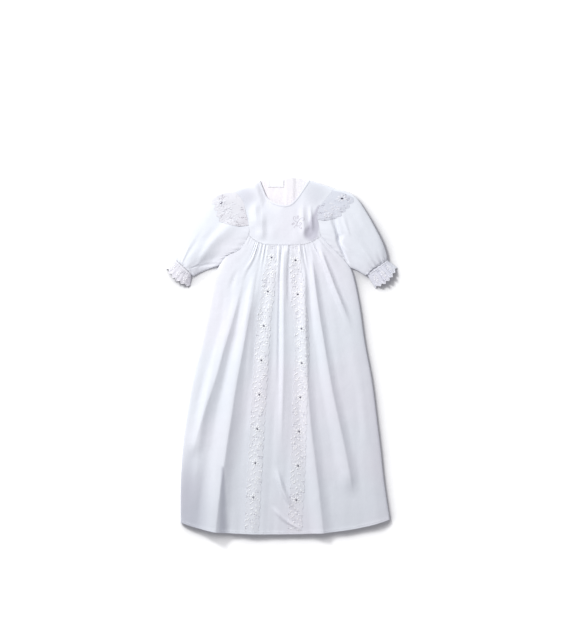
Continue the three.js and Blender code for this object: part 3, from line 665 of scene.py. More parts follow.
def bead_finish():
    """Grey glass: dark, smooth and bright where it catches the light."""
    material, tree, shader = new_finish("grey_glass")
    shader["Roughness"].default_value = 0.12
    shader["Metallic"].default_value = 0.3
    place = add_node(tree, "TexCoord").outputs["Object"]
    cloud = add_node(tree, "TexNoise", {"Vector": place, "Scale": 400}).outputs["Fac"]
    ramp = add_node(tree, "ValToRGB", {"Fac": cloud})
    for stop, (position, color) in zip(ramp.color_ramp.elements, GLASS_STOPS):
        stop.position, stop.color = position, color
    give(tree, shader["Base Color"], ramp.outputs["Color"])
    return material


def beads(name, place, across, down):
    """Small faceted beads, each wider than high."""
    mesh = dome_mesh(name, place, across, down, BEAD["wide"], BEAD["wide"], 0, BEAD["high"], flat=True)
    return dressed(name, mesh, GLASS, "lace")


def eyelet_group():
    """Where the lace is open: rounded cells, more of them where a soft noise is high."""
    group, given, made = new_group("eyelets", {"Cells": 210}, ("Open",))
    place = add_node(group, "UVMap", uv_map="cloth").outputs[0]
    cells = add_node(group, "TexVoronoi", {"Vector": place, "Scale": given["Cells"], "Randomness": 0.35})
    cloud = add_node(group, "TexNoise", {"Vector": place, "Scale": 70}).outputs["Fac"]
    holes = ranged(group, cells.outputs["Distance"], 0.45, 0.25)
    give(group, made["Open"], maths(group, "MULTIPLY", holes, ranged(group, cloud, 0.54, 0.62)))
    return group


EYELETS = eyelet_group()


def lace_finish(name, light, dark, painted_eyelet_shade):
    """Embroidered cotton lace: the cloth's finish with sunken eyelets, coloured darker with painted shade
    where the cloth under them would lie in shadow.
    """
    material = cloth_finish(name, light, dark, 700, 0.3, 0.1)
    tree = material.node_tree
    shader = tree.nodes["Principled BSDF"].inputs
    color, normal = (shader[key].links[0].from_socket for key in ("Base Color", "Normal"))
    opened = add_node(tree, "Group", node_tree=EYELETS).outputs["Open"]
    give(tree, shader["Base Color"], mixed(tree, opened, color, (*painted_eyelet_shade, 1)))
    relief = {"Distance": 0.0008, "Strength": 0.8, "Height": opened, "Normal": normal}
    give(tree, shader["Normal"], add_node(tree, "Bump", relief, invert=True).outputs["Normal"])
    return material


LACE = lace_finish("cotton_lace", (0.85, 0.86, 0.915), (0.805, 0.815, 0.87), (0.68, 0.68, 0.76))
SATIN = cloth_finish("satin_stitch", (0.96, 0.965, 0.99), (0.92, 0.925, 0.96), 1600, 0.6, 0.1, 0.5, 0)
GLASS = bead_finish()

# The two lace bands are strips of embroidered cotton lace with scalloped edges, sewn onto the front
# skirt from the waist seam to the hem. A flower with a bead at its heart repeats down each.
LACE_LIFT = 0.5
LACE_THICK = 0.4
BAND_GRID = (500, 16)
BANDS = {
    "left": {"column": 15, "first": 27.8, "turn": 1},
    "right": {"column": 25, "first": 34.1, "turn": -1},
}
BAND_START = 0.2
BAND_ENDS = (4, 5)
BAND_CORD = {"radius": 0.3, "ends": 1.5, "inset": 0.4, "points": 560}
BAND_SHIFT = {"seed": 61, "by": (0.8, 0.8, 0.2), "clear": 9}
BEAD_LIFT = 0.5
REPEAT = 76.9
FLOWERS = 8
BAND_SCALLOPS = {"run": 19.2, "deep": 3.2}
STEM = {"wave": 5, "start": 10, "leaves": 10, "step": 6.3}
BIG_FLOWER = {"petals": 7, "reach": 5.4, "start": 0, "size": (7.4, 4.6), "high": 1.1}
SMALL_FLOWER = {"petals": 5, "reach": 3.2, "start": 0.3, "size": (5.2, 3.4), "high": 1}
SMALL_FLOWER_PLACE = {"leaf": 4, "aside": 6}
# The leaves: across from the stem and down from their step, and how far they lean from UPRIGHT.
UPRIGHT = 1.57
STEM_LEAVES = (
    {"across": 5, "down": 1.5, "size": (8.5, 4.2), "lean": -0.75, "high": 1},
    {"across": -10.5, "down": -2, "size": (6, 3.4), "lean": 0.4, "high": 0.9},
)
HEART_LEAVES = {"across": (-10, 10), "down": (-4, 4), "size": (7, 3.6), "turn": 1.1, "high": 0.9}


def band_point(side, across, down):
    """A place on a band: across from its middle line and down from the waist seam, in millimetres."""
    band = BANDS[side]
    v = down_share(SEAM_Y - down)
    half = skirt_size("lace", v) / 2
    u = (band["column"] + SKIRT_COLUMNS[1] * (across + half) / (2 * half)) / SKIRT_CELLS
    return skirt_face(u, v) + (0, 0, LACE_LIFT)


def band_half(side, down):
    """Half a band's width with its scallops."""
    half = skirt_size("lace", down_share(SEAM_Y - down)) / 2
    return half - BAND_SCALLOPS["deep"] * (1 - np.abs(np.sin(np.pi * down / BAND_SCALLOPS["run"])))


def lace_band(side):
    """A band: even rows down it and columns between its scalloped edges."""
    u, v = unit_grid(*BAND_GRID)
    down = mix(BAND_START, SEAM_Y - HEM_Y, v)
    across = mix(-1, 1, u) * band_half(side, down)
    face = band_point(side, across, down)
    name = "front_lace_" + side
    mesh = wall_mesh(name, face, face - (0, 0, LACE_THICK), np.stack([across, -down], -1) * MM)
    return dressed(name, mesh, LACE, "lace", "lace_band_" + side)


def flower_row(flower, across, down):
    """The petals of flowers with their hearts at (across, down), each turned away from its heart."""
    turn = flower["start"] + np.arange(flower["petals"]) * 2 * np.pi / flower["petals"]
    off_x, off_y = flower["reach"] * np.cos(turn), flower["reach"] * np.sin(turn)
    return across + off_x, down + off_y, *flower["size"], turn, flower["high"]


def edge_leaves(leaves):
    """Leaves in a row along an edge, which lean to one side and to the other by turns."""
    number = np.arange(leaves["count"])
    turn = UPRIGHT + leaves["lean"] * (-1.0) ** number
    return leaves["first"] + leaves["step"] * number, leaves["down"], *leaves["size"], turn, leaves["high"]


def stem_across(side, down):
    """How far the wavy stem lies from the band's middle: a sine, once round from flower to flower."""
    from_first = down - BANDS[side]["first"]
    return BANDS[side]["turn"] * STEM["wave"] * np.sin(2 * np.pi * from_first / REPEAT)


def band_embroidery(side):
    """Down each repeat: a beaded flower, a small flower halfway, and leaves on both sides of the stem.
    All but the beaded flowers are shifted a little, as hand-guided stitching is."""
    band = BANDS[side]
    heart = band["first"] + REPEAT * np.arange(FLOWERS)[:, None]
    number = np.arange(STEM["leaves"])
    step = heart + STEM["start"] + STEM["step"] * number
    stem = stem_across(side, step)
    at = [SMALL_FLOWER_PLACE["leaf"]]
    aside = stem[:, at] + SMALL_FLOWER_PLACE["aside"] * band["turn"]
    lean = np.where(number % 2, 1, -1)
    parts = [flower_row(BIG_FLOWER, heart * 0, heart), flower_row(SMALL_FLOWER, aside, step[:, at])]
    for leaf in STEM_LEAVES:
        across, down = stem + leaf["across"] * lean, step + leaf["down"]
        parts.append((across, down, *leaf["size"], UPRIGHT + leaf["lean"] * lean, leaf["high"]))
    across, down = HEART_LEAVES["across"], heart + HEART_LEAVES["down"]
    parts.append((across, down, *HEART_LEAVES["size"], HEART_LEAVES["turn"], HEART_LEAVES["high"]))
    rows = dome_rows(parts)
    shift = np.random.default_rng(BAND_SHIFT["seed"]).normal(size=(3, len(rows[0])))
    far = np.minimum.reduce(np.abs(rows[1][None] - heart), 0) > BAND_SHIFT["clear"]
    for k, by, amount in zip((0, 1, 4), shift, BAND_SHIFT["by"]):
        rows[k] = rows[k] + by * amount * far
    inside = (rows[1] > BAND_ENDS[0]) & (rows[1] < SEAM_Y - HEM_Y - BAND_ENDS[1])

    def place(across, down):
        return band_point(side, across, down)

    return sewn_domes("band_flowers_" + side, place, [row[inside] for row in rows], SATIN)


def band_cords(side):
    """A cord along each scalloped edge of a band, and one along the wavy stem."""
    down = np.linspace(BAND_CORD["ends"], SEAM_Y - HEM_Y - BAND_CORD["ends"], BAND_CORD["points"])
    half = band_half(side, down) - BAND_CORD["inset"]
    stem = stem_across(side, down - STEM["start"])
    paths = [band_point(side, across, down) for across in (-half, half, stem)]
    return sewn_cords("band_cords_" + side, paths, BAND_CORD["radius"], SATIN)


def sewn_band(side):
    """A band with its embroidery, cords and beads, which are sewn at the flowers' hearts."""
    piece = lace_band(side)
    hearts = BANDS[side]["first"] + REPEAT * np.arange(FLOWERS)

    def place(across, down):
        return band_point(side, across, down) + (0, 0, BEAD_LIFT)

    sewn = [band_embroidery(side), band_cords(side)]
    sewn.append(beads("band_beads_" + side, place, hearts * 0, hearts))


for side in BANDS:
    sewn_band(side)

# The back skirt is a plain panel of the same batiste, sewn to the back yoke and to the front skirt's
# sides. It lies flat under the front one, with shallow creases pressed into both of its faces.
BACK_GRID = (110, 90)
BACK_CREASES = {"across": 30, "down": 4, "deep": 0.45, "narrow": 5}


def pressed(u, v, seed):
    """The depth of creases that run down a flat panel: 0 on the level cloth."""
    soft = np.abs(ripple(u, v, BACK_CREASES["across"], BACK_CREASES["down"], seed))
    return BACK_CREASES["deep"] * np.clip(1 - BACK_CREASES["narrow"] * soft, 0, 1)


def back_skirt():
    """The skirt's sections as two level grids, a wall apart."""
    u, down = unit_grid(*BACK_GRID)
    v = down_share(mix(SEAM_Y, HEM_Y, down))
    x, y, _, _ = skirt_plan(u, v)
    upper = np.stack([x, y, WALL - pressed(u, v, 3)], -1)
    lower = np.stack([x, y, pressed(u, v, 4)], -1)
    return wall_mesh("back_skirt", upper, lower, np.stack([x, y], -1) * MM)


back_piece = dressed("back_skirt", back_skirt(), BATISTE, "batiste", "skirt_back")

# The front yoke is one smooth panel of the batiste from the neck to the waist seam, with the sleeves
# and frills sewn into its armholes. It is slack beside the frills, where it folds, and dips under the
# right one. A shade is painted in the dip and up to the right frill, and more faintly on both shoulders.
SEAM = 0.5
NECK_FRONT = (
    (-47, 394), (-40, 376), (-32, 358), (-18, 346), (9, 339), (25, 345), (37, 358), (50, 377), (62, 396),
)
YOKE_CELLS = {"armhole": 9, "seam": 16}
YOKE_GRID = (60, 200)
YOKE_FOLDS = {
    "left outer": (352, 280, (-57, -56, -53), (20, 20), (13, 14), (3, 3.5), 0.4, 0.4, 0.5),
    "left inner": (332, 256, (-42, -42, -40), (18, 20), (13, 14), (3.5, 3), 0.4, 0.3, 0.5),
    "right inner": (350, 262, (50, 51, 54), (16, 14), (8, 16), (2, 3.5), 0.4, 0.25, 1),
    "right outer": (345, 268, (66, 69, 72), (9, 9), (7, 9), (2, 3.5), 0.4, 0.4, 1),
}
YOKE_POCKET = {"x": 64, "y": 276, "radius": 16, "deep": 1.5, "floor": 0.35}
# The painted shade: a line from the dip up to the right frill, round patches at the shoulders, how much of
# each is full, and its colour.
YOKE_PAINTED_SHADE = ((68, 275, 22), (88, 331, 11))
SHOULDER_PAINTED_SHADES = ((-86, 358, 36, 0.5), (80, 364, 36, 0.3))
PAINTED_SHADE_CORES = {"yoke": 0.45, "shoulder": 0.3}
YOKE_PAINTED_SHADE_COLOR = (0.7, 0.68, 0.725)
YOKE_RIM = 0.12
SHOULDER_RISE = 0.17
SHOULDER_TURN = 0.06
NECK_FALL = {"share": 0.3, "level": 4.3, "part": 0.9, "left": (0.25, 0.5)}
YOKE_RIPPLE = {"across": 13, "down": 7, "high": 0.7, "seed": 17}
BODICE = {"left": -110, "wide": 240, "top": 400, "long": 170}


def yoke_edge(u):
    """The yoke's outer edge: down the left armhole, along the waist seam and up the right armhole."""
    armhole, seam = YOKE_CELLS["armhole"], YOKE_CELLS["seam"]
    place = u * (2 * armhole + seam)
    left = through(ARMHOLES["left"], place / armhole * YOKE_SHARES["left"])
    right = through(ARMHOLES["right"], (2 * armhole + seam - place) / armhole * YOKE_SHARES["right"])
    x, y, _, _ = skirt_plan(np.clip((place - armhole) / seam, 0, 1), u * 0)
    middle = np.stack([x, y + SEAM], -1)
    inner = np.where((place >= armhole + seam)[..., None], right, middle)
    return np.where((place <= armhole)[..., None], left, inner)


def bodice_share(x, y):
    """Shares across and down the bodice, for its soft creases."""
    return (x - BODICE["left"]) / BODICE["wide"], (BODICE["top"] - y) / BODICE["long"]


def yoke_form(x, y):
    """What the yoke's folds and soft creases add, less the dip."""
    off = np.hypot(x - YOKE_POCKET["x"], y - YOKE_POCKET["y"]) / YOKE_POCKET["radius"]
    dip = YOKE_POCKET["deep"] * (1 - ease(off, YOKE_POCKET["floor"], 1))
    return fold_height(YOKE_FOLDS, x, y) + creases(*bodice_share(x, y), YOKE_RIPPLE) - dip


def yoke_point(u, share):
    """A place on the yoke: share runs from the neck to the outer edge. It rises from both shoulders."""
    place = mix(through(NECK_FRONT, u), yoke_edge(u), share[..., None])
    from_shoulder = np.minimum(u, 1 - u)
    turn = 1 - np.clip(from_shoulder / SHOULDER_TURN, 0, 1)
    risen = ease(from_shoulder, 0, SHOULDER_RISE) * ease(1 - share, 0, YOKE_RIM)
    body = mix(EDGE_HEIGHT, BODY_HEIGHT, np.sqrt(1 - turn**2))
    z = body + risen * yoke_form(place[..., 0], place[..., 1])
    at_neck = 1 - ease(share, 0, NECK_FALL["share"])
    fall = NECK_FALL["part"] * at_neck * (1 - ease(u, *NECK_FALL["left"]))
    z = mix(z, np.minimum(z, NECK_FALL["level"]), fall)
    return np.concatenate([place, z[..., None]], -1)


def yoke_painted_shade(points):
    """How deep the painted shade is: 1 near a line up from the dip to the frill and 0 a radius away, with
    fainter round ones at the shoulders."""
    painted_shade = line_painted_shade(points, YOKE_PAINTED_SHADE, PAINTED_SHADE_CORES["yoke"])
    for x, y, radius, depth in SHOULDER_PAINTED_SHADES:
        off = np.hypot(points[..., 0] - x, points[..., 1] - y) / radius
        painted_shade = np.maximum(painted_shade, depth * (1 - ease(off, PAINTED_SHADE_CORES["shoulder"], 1)))
    return painted_shade


yoke_points = yoke_point(*unit_grid(*YOKE_GRID))
yoke_mesh = wall_mesh("front_yoke", yoke_points, yoke_points - (0, 0, CLOTH), yoke_points[..., :2] * MM)
set_painted_shade(yoke_mesh, yoke_painted_shade(yoke_points))
YOKE_PAINTED_SHADE_FINISH = painted_shade_finish("yoke_batiste_painted_shade", YOKE_PAINTED_SHADE_COLOR)
yoke_piece = dressed("front_yoke", yoke_mesh, YOKE_PAINTED_SHADE_FINISH, "batiste", "yoke_front")

# The sprig is embroidered on the yoke in grey thread: a curled stem with two tendrils and three small
# leaves, each a path in millimetres. A leaf has its place and its lean.
SPRIG = (
    ((29, 288), (33, 293), (37, 300), (41, 306), (46, 310), (51, 310), (52, 306), (48, 304)),
    ((37, 300), (32, 303), (28, 308), (29, 313), (33, 312), (33, 308)),
    ((33, 293), (38, 292), (43, 294), (46, 298), (43, 300), (41, 297)),
)
SPRIG_LEAVES = ((27, 297, 0.6), (44, 288, 2.6), (38, 312, 1.4))
SPRIG_THREAD = {"radius": 0.33, "lift": 0.2}
SPRIG_POINTS = {"stem": 60, "leaf": 24}
LEAF_HALF = (3.4, 1.3)


def on_yoke(x, y):
    """The sprig's place over the yoke's middle, where it is fully risen."""
    return np.stack([x, y, BODY_HEIGHT + yoke_form(x, y) + SPRIG_THREAD["lift"]], -1)


def sprig():
    """Thin cords along the stems, with short ones for the leaves' outlines."""
    t = np.linspace(0, 1, SPRIG_POINTS["stem"])
    paths = [on_yoke(*through(line, t).T) for line in SPRIG]
    turn = np.linspace(0, 2 * np.pi, SPRIG_POINTS["leaf"])
    for x, y, lean in SPRIG_LEAVES:
        p, q = LEAF_HALF[0] * np.cos(turn), LEAF_HALF[1] * np.sin(turn)
        cos, sin = np.cos(lean), np.sin(lean)
        paths.append(on_yoke(x + p * cos - q * sin, y + p * sin + q * cos))
    return cord_mesh("yoke_sprig", paths, SPRIG_THREAD["radius"])


GREY_THREAD = cloth_finish("grey_thread", (0.6, 0.57, 0.62), (0.52, 0.5, 0.55), 1600, 0.5, 0.1, 0.5, 0)
sprig_piece = dressed("yoke_sprig", sprig(), GREY_THREAD, "batiste")


# The topstitching is a row of short stitches in white cotton, end to end, just inside the waist seam
# and the hem.
STITCH = {"wide": 0.7, "high": 0.45}
SEAM_STITCHES = {"at": 0.97, "pitch": 3, "length": 2.2}
HEM_STITCHES = {"ends": (0.004, 0.996), "below": 1, "pitch": 3.2, "length": 2.4}


def stitches(name, path, row):
    """A row of stitches along a path: low domes, each turned along it."""
    run = run_length(path)
    at = np.arange(row["pitch"], run[-1] - row["pitch"], row["pitch"])

    def on_path(along):
        return np.stack([np.interp(along, run, path[:, k]) for k in range(3)], -1)

    def place(across, down):
        along = np.clip(across, 0, run[-1])
        ahead = on_path(along + 1) - on_path(along - 1)
        beside = np.cross(ahead / np.linalg.norm(ahead, axis=-1)[..., None], (0.0, 0.0, 1.0))
        return on_path(along) + beside * down[..., None]

    mesh = dome_mesh(name, place, at, at * 0, row["length"], STITCH["wide"], 0, STITCH["high"] + SUNK)
    return dressed(name, mesh, SATIN, "batiste")


line = np.linspace(0, 1, 400)
seam_path = yoke_point(line, line * 0 + SEAM_STITCHES["at"])
seam_stitches = stitches("yoke_stitches", seam_path, SEAM_STITCHES)

# The neck binding is a narrow bias strip of the batiste, folded over the front neck edge and sewn down
# on both sides.
BINDING = {"width": 4.5, "lift": 0.05, "thick": 0.2, "bulge": 0.35}
BINDING_GRID = (8, 160)


def neck_binding():
    """The yoke's first few millimetres moved out, in a low half round."""
    u, across = unit_grid(*BINDING_GRID)
    span = np.linalg.norm(yoke_edge(u) - through(NECK_FRONT, u), axis=-1)
    face = yoke_point(u, across * BINDING["width"] / span)
    round_over = BINDING["bulge"] * np.sqrt(np.clip(1 - (2 * across - 1) ** 2, 0, 1))
    inner = face + (0, 0, BINDING["lift"])
    outer = face + np.stack([u * 0, u * 0, BINDING["lift"] + BINDING["thick"] + round_over], -1)
    return wall_mesh("front_binding", outer, inner, grid_uv(outer))


binding_piece = dressed("front_binding", neck_binding(), BATISTE, "batiste", "neck_binding")

# The back yoke is two halves of the batiste, each with a facing, that lap at the middle, where the gown
# opens. They lie flat, and their neck edge shows inside the front neck.
PLACKET = {"x": 11, "lap": 11, "flat": 4, "slope": 9}
LAY = 0.3
NECK_BACK = ((-47, 394), (-20, 398.6), (8, 399.7), (36, 399.5), (62, 396))
BACK_YOKE = {"armhole": 9, "seam": 8, "crease": 0.6}
BACK_YOKE_GRID = (30, 80)
BACK_AREAS = {"left": 0.0118, "right": 0.0116}


def lap_height(x):
    """How high the right half rises to lie over the left one."""
    start = PLACKET["x"] + PLACKET["lap"] + PLACKET["flat"]
    return (WALL + LAY) * (1 - ease(x, start, start + PLACKET["slope"]))


def back_seam(share):
    """The back's waist seam at a share of the way across."""
    x = mix(SKIRT["left"][0], SKIRT["right"][0], share)
    u = np.linspace(0, 1, 900)
    seam_x, seam_y, _, _ = skirt_plan(u, u * 0)
    return np.stack([x, np.interp(x, seam_x, seam_y) + SEAM], -1)


def back_yoke(side):
    """A half from its neck edge to its armhole and seam, from the shoulder to the middle."""
    armhole, seam = BACK_YOKE["armhole"], BACK_YOKE["seam"]
    is_left = side == "left"
    middle = PLACKET["x"] + (PLACKET["lap"] if is_left else 0)
    first, last = SKIRT["left"][0], SKIRT["right"][0]
    middle_share = (middle - first) / (last - first)
    u, v = unit_grid(*BACK_YOKE_GRID)
    neck_x = mix(NECK_BACK[0 if is_left else -1][0], middle, u)
    neck = through(NECK_BACK, (neck_x - NECK_BACK[0][0]) / (NECK_BACK[-1][0] - NECK_BACK[0][0]))
    neck[..., 0] = neck_x
    place = u * (armhole + seam)
    along = np.clip((place - armhole) / seam, 0, 1)
    on_seam = back_seam(along * middle_share if is_left else mix(1, middle_share, along))
    on_arm = through(ARMHOLES[side], place / armhole * YOKE_SHARES[side])
    plan = mix(neck, np.where((place <= armhole)[..., None], on_arm, on_seam), v[..., None])
    x, y = plan[..., 0], plan[..., 1]
    lift = 0 * u if is_left else lap_height(x)
    crease = BACK_YOKE["crease"] * pressed(*bodice_share(x, y), 6)
    upper = np.stack([x, y, WALL + lift - crease], -1)
    lower = np.stack([x, y, lift], -1)
    return wall_mesh("back_yoke_" + side, upper, lower, plan * MM)


# Both of its layers of cloth show together, which makes it a warmer white.
LINED = cloth_finish("lined_batiste", (0.93, 0.91, 0.945), (0.89, 0.87, 0.905), 900, 0.25, 0.15)
for side, area in BACK_AREAS.items():
    piece = dressed("back_yoke_" + side, back_yoke(side), LINED, "batiste", "yoke_back_" + side)

# The label is a short piece of white woven tape, left blank. Its two ends are folded under, and it is
# sewn flat inside the back neck.
LABEL = {"left": -29, "right": 6, "top": 396, "bottom": 380, "thick": 1.1, "fold": 0.35, "ends": (0.06, 0.1)}
LABEL_GRID = (8, 40)
LABEL_TAPE = cloth_finish("white_tape", (0.95, 0.96, 0.98), (0.92, 0.93, 0.96), 1300, 0.3, 0.1, 0.6, 0)


def neck_label():
    """A flat rectangle, a little thicker at its two folded ends."""
    across, down = unit_grid(*LABEL_GRID)
    x, y = mix(LABEL["left"], LABEL["right"], across), mix(LABEL["top"], LABEL["bottom"], down)
    middle = LABEL["fold"] * ease(np.minimum(across, 1 - across), *LABEL["ends"])
    lower = np.stack([x, y, x * 0 + WALL + LAY], -1)
    upper = np.stack([x, y, WALL + LAY + LABEL["thick"] - middle], -1)
    return wall_mesh("back_label", upper, lower, upper[..., :2] * MM)


label_piece = dressed("back_label", neck_label(), LABEL_TAPE, "label", "label")

# Each sleeve is one piece of batiste, closed round the arm. It is gathered into the armhole and into
# the elastic at the wrist, and lies in a puff with a few deep folds from the underarm.
ARMHOLE_GAP = {"frilled": 0.1, "plain": 0.3, "turn": (0.5, 0.7), "dip": 1, "dip_length": 0.07}
ARMHOLE_STEP = 0.02
SHARPEST = 0.6
# Each sleeve's outer and under edge, from the armhole to the wrist. The bow is how much of the
# armhole's curve is left at each of these places, and the height is the puff's.
SLEEVES = {
    "left": {
        "outer": (
            (-106, 372), (-133, 368), (-158, 356), (-186, 323), (-207, 286), (-224, 252), (-234, 227),
            (-236, 217),
        ),
        "under": (
            (-138, 204), (-155, 198), (-171, 192), (-183, 187), (-190, 183), (-195, 180), (-198, 180),
            (-201, 184),
        ),
    },
    "right": {
        "outer": (
            (119, 377), (144, 370), (168, 357), (187, 331), (209, 293), (228, 255), (237, 228), (238, 216),
        ),
        "under": (
            (156, 198), (162, 196), (169, 193), (175, 190), (181, 186), (186, 183), (190, 181), (192, 185),
        ),
    },
}
SLEEVE_BOW = (1, 0.72, 0.5, 0.34, 0.22, 0.12, 0.05, 0)
SLEEVE_HIGH = (10, 12, 14, 15.5, 16, 15.5, 13, 10)
SLEEVE_ROUNDNESS = 0.32
# Folds from one (s, t) to another, with s across from the outer edge and t down from the armhole, then
# their width in the same shares, their height and how crisp they are on their lower side.
SLEEVE_FOLDS = {
    "left": (
        ((0.38, 0.02), (0.68, 0.56), 0.12, 2.2, 0.4),
        ((0.97, 0.02), (0.87, 0.5), 0.04, -2.5, 0.3),
        ((0.9, 0.4), (0.66, 0.86), 0.04, -1.4, 0.3),
        ((0.25, 0.62), (0.33, 0.97), 0.08, 1.5, 0.3),
    ),
    "right": (
        ((0.3, 0.15), (0.74, 0.25), 0.05, -6, 0),
        ((0.5, 0.27), (0.94, 0.06), 0.05, -6, 0),
        ((0.26, 0.24), (0.52, 0.36), 0.05, 2, 0.2),
        ((0.5, 0.5), (0.56, 0.95), 0.09, 1.5, 0.3),
    ),
}
SLEEVE_UNDER = {"left": (0.62, 0.7), "right": (0.85, 0.45)}
UNDER_ARM = {"across": (0.5, 0.95), "head": 0.25, "wrist": (0.75, 0.95)}
WRIST_SHARE = {"left": 0.2, "right": 0.9}
WRIST_GATHERS = {"count": 5.5, "high": 1.6, "length": 0.3}
FINE_WRIST = {"count": 15, "high": 0.8, "length": 0.2}
HEAD_GATHERS = {"count": 17, "high": 0.45, "length": 0.16, "from": (0.5, 0.66)}
HEAD_SHIFT = (0.02, 9, 31)
SLEEVE_RIPPLES = {
    "left": {"across": 9, "down": 5, "high": 1.2, "seed": 41},
    "right": {"across": 9, "down": 5, "high": 1.2, "seed": 43},
}
ELASTIC = {"at": 0.955, "wide": 0.02, "deep": 0.5}
SLEEVE_GRID = {"along": 100, "front": 110, "back": 30}


def sleeve_plan(side, s, t):
    """Where a sleeve lies: its sections run from the outer to the under edge and take on the armhole's
    curve near it."""
    table, armhole = SLEEVES[side], ARMHOLES[side]
    straight = mix(np.array(table["outer"][0]), np.array(table["under"][0]), s[..., None])
    run = through(armhole, s + ARMHOLE_STEP) - through(armhole, s - ARMHOLE_STEP)
    turn = (1 if side == "left" else -1) / np.linalg.norm(run, axis=-1)[..., None]
    away = np.stack([run[..., 1], -run[..., 0]], -1) * turn
    plain = mix(through(table["outer"], t), through(table["under"], t), s[..., None])
    gap = mix(ARMHOLE_GAP["frilled"], ARMHOLE_GAP["plain"], ease(s, *ARMHOLE_GAP["turn"]))[..., None]
    return plain + through(SLEEVE_BOW, t)[..., None] * (through(armhole, s) - straight) + gap * away


def dome(s, roundness=SLEEVE_ROUNDNESS):
    """The rounded profile across a tube that lies flat: 0 at both edges and 1 in the middle."""
    return np.maximum(np.sin(np.arccos(1 - 2 * np.clip(s, 0, 1))), 0) ** roundness


def sleeve_fold(s, t, start, end, wide, high, crisp):
    """A ridge from one place to another: half a sine along it, and across it a cosine that falls as
    (1 - share)^2 on its lower side where it is crisp."""
    run_s, run_t = end[0] - start[0], end[1] - start[1]
    run = math.hypot(run_s, run_t)
    from_s, from_t = s - start[0], t - start[1]
    along = np.clip((from_s * run_s + from_t * run_t) / run**2, 0, 1)
    off = (from_s * run_t - from_t * run_s) / (run * wide)
    share = np.clip(np.abs(off), 0, 1)
    ridge = mix(0.5 + 0.5 * np.cos(np.pi * share), (1 - share) ** 2, np.where(off > 0, crisp, 0))
    return high * np.sin(np.pi * along) * ridge


def sleeve_height(side, s, t, gathered=1):
    """The puff, its folds and creases, and its gathers at the head and the wrist."""
    total = through(SLEEVE_HIGH, t)
    for fold in SLEEVE_FOLDS[side]:
        total = total + sleeve_fold(s, t, *fold)
    for gathers in (WRIST_GATHERS, FINE_WRIST):
        near = ease(t, 1 - gathers["length"], 1)
        total = total + WRIST_SHARE[side] * gathers["high"] * near * np.cos(2 * np.pi * gathers["count"] * s)
    head = ease(s, *HEAD_GATHERS["from"]) * (1 - ease(t, 0, HEAD_GATHERS["length"]))
    wave = np.cos(2 * np.pi * HEAD_GATHERS["count"] * (s + unevenness(s, *HEAD_SHIFT)))
    total = total + gathered * HEAD_GATHERS["high"] * head * wave
    total = total + creases(s, t, SLEEVE_RIPPLES[side])
    total = total - ELASTIC["deep"] * np.exp(-(((t - ELASTIC["at"]) / ELASTIC["wide"]) ** 2))
    dip = ease(s, *ARMHOLE_GAP["turn"]) * (1 - ease(t, 0, ARMHOLE_GAP["dip_length"]))
    total = total - ARMHOLE_GAP["dip"] * dip
    level, roundness = SLEEVE_UNDER[side]
    under = ease(s, *UNDER_ARM["across"]) * ease(t, 0, UNDER_ARM["head"])
    under = under * (1 - ease(t, *UNDER_ARM["wrist"]))
    return dome(s, mix(SLEEVE_ROUNDNESS, roundness, under)) * total * mix(1, level, under)


def tube_mesh(name, grid, side, plan, height, wall):
    """A tube open at both ends that lies flat, for one side: its front rises by height, its back lies on
    the surface, and its inner rings are the outer ones moved in by the wall."""
    front = 0.5 * (1 - np.cos(np.pi * np.arange(grid["front"] + 1) / grid["front"]))
    back = 1 - np.arange(1, grid["back"]) / grid["back"]
    s, t = np.meshgrid(np.concatenate([front, back]), np.linspace(0, 1, grid["along"] + 1))
    z = np.where(np.arange(s.shape[1]) <= grid["front"], height(side, s, t), 0)
    width = np.linalg.norm(plan(side, t * 0 + 1, t) - plan(side, t * 0, t), axis=-1)
    flat = np.stack([s * width, z], -1)
    runs = [flat - np.roll(flat, 1, 1), np.roll(flat, -1, 1) - flat]
    runs = [run / np.maximum(np.linalg.norm(run, axis=-1), 1e-9)[..., None] for run in runs]
    inwards = [np.stack([run[..., 1], -run[..., 0]], -1) for run in runs]
    facing = np.sum(inwards[0] * inwards[1], -1)
    moved = flat + (inwards[0] + inwards[1]) * (wall / np.maximum(1 + facing, SHARPEST))[..., None]
    outer = np.concatenate([plan(side, s, t), z[..., None]], -1)
    inner = np.concatenate([plan(side, moved[..., 0] / width, t), moved[..., 1:]], -1)
    around = run_length(flat, 1)
    down = np.broadcast_to(-run_length(outer[:, 0])[:, None], s.shape)
    return wall_mesh(name, outer, inner, np.stack([around, down], -1) * MM, around=True)


def puff_sleeve(side):
    """One sleeve, from its plan and its height."""
    name = "puff_sleeve_" + side
    mesh = tube_mesh(name, SLEEVE_GRID, side, sleeve_plan, sleeve_height, CLOTH)
    return dressed(name, mesh, BATISTE, "batiste", "sleeve_" + side)


sleeves = {side: puff_sleeve(side) for side in SLEEVES}

# A frill of the same embroidered lace, on a sheerer ground, stands up from each armhole seam over the
# head of the sleeve. Its free edge is scalloped and waved.
# Where each frill starts and ends along the armhole, and how far down the sleeve it reaches, as shares.
FRILLS = {
    "left": {"start": 0.03, "end": 0.46, "reach": (0.27, 0.27, 0.265, 0.25, 0.22, 0.1)},
    "right": {"start": 0.03, "end": 0.41, "reach": (0.26, 0.25, 0.24, 0.22, 0.19, 0.09)},
}
FRILL = {"lift": 0.3, "scallops": 5, "scallop": 0.12, "waves": 5, "high": 0.25, "stand": 0.15}
FRILL_EDGE = {"from": 0.75, "part": 0.4}
FRILL_RUFFLE = {"count": 7, "high": 0.06, "phase": 1}
FRILL_GRID = (26, 200)
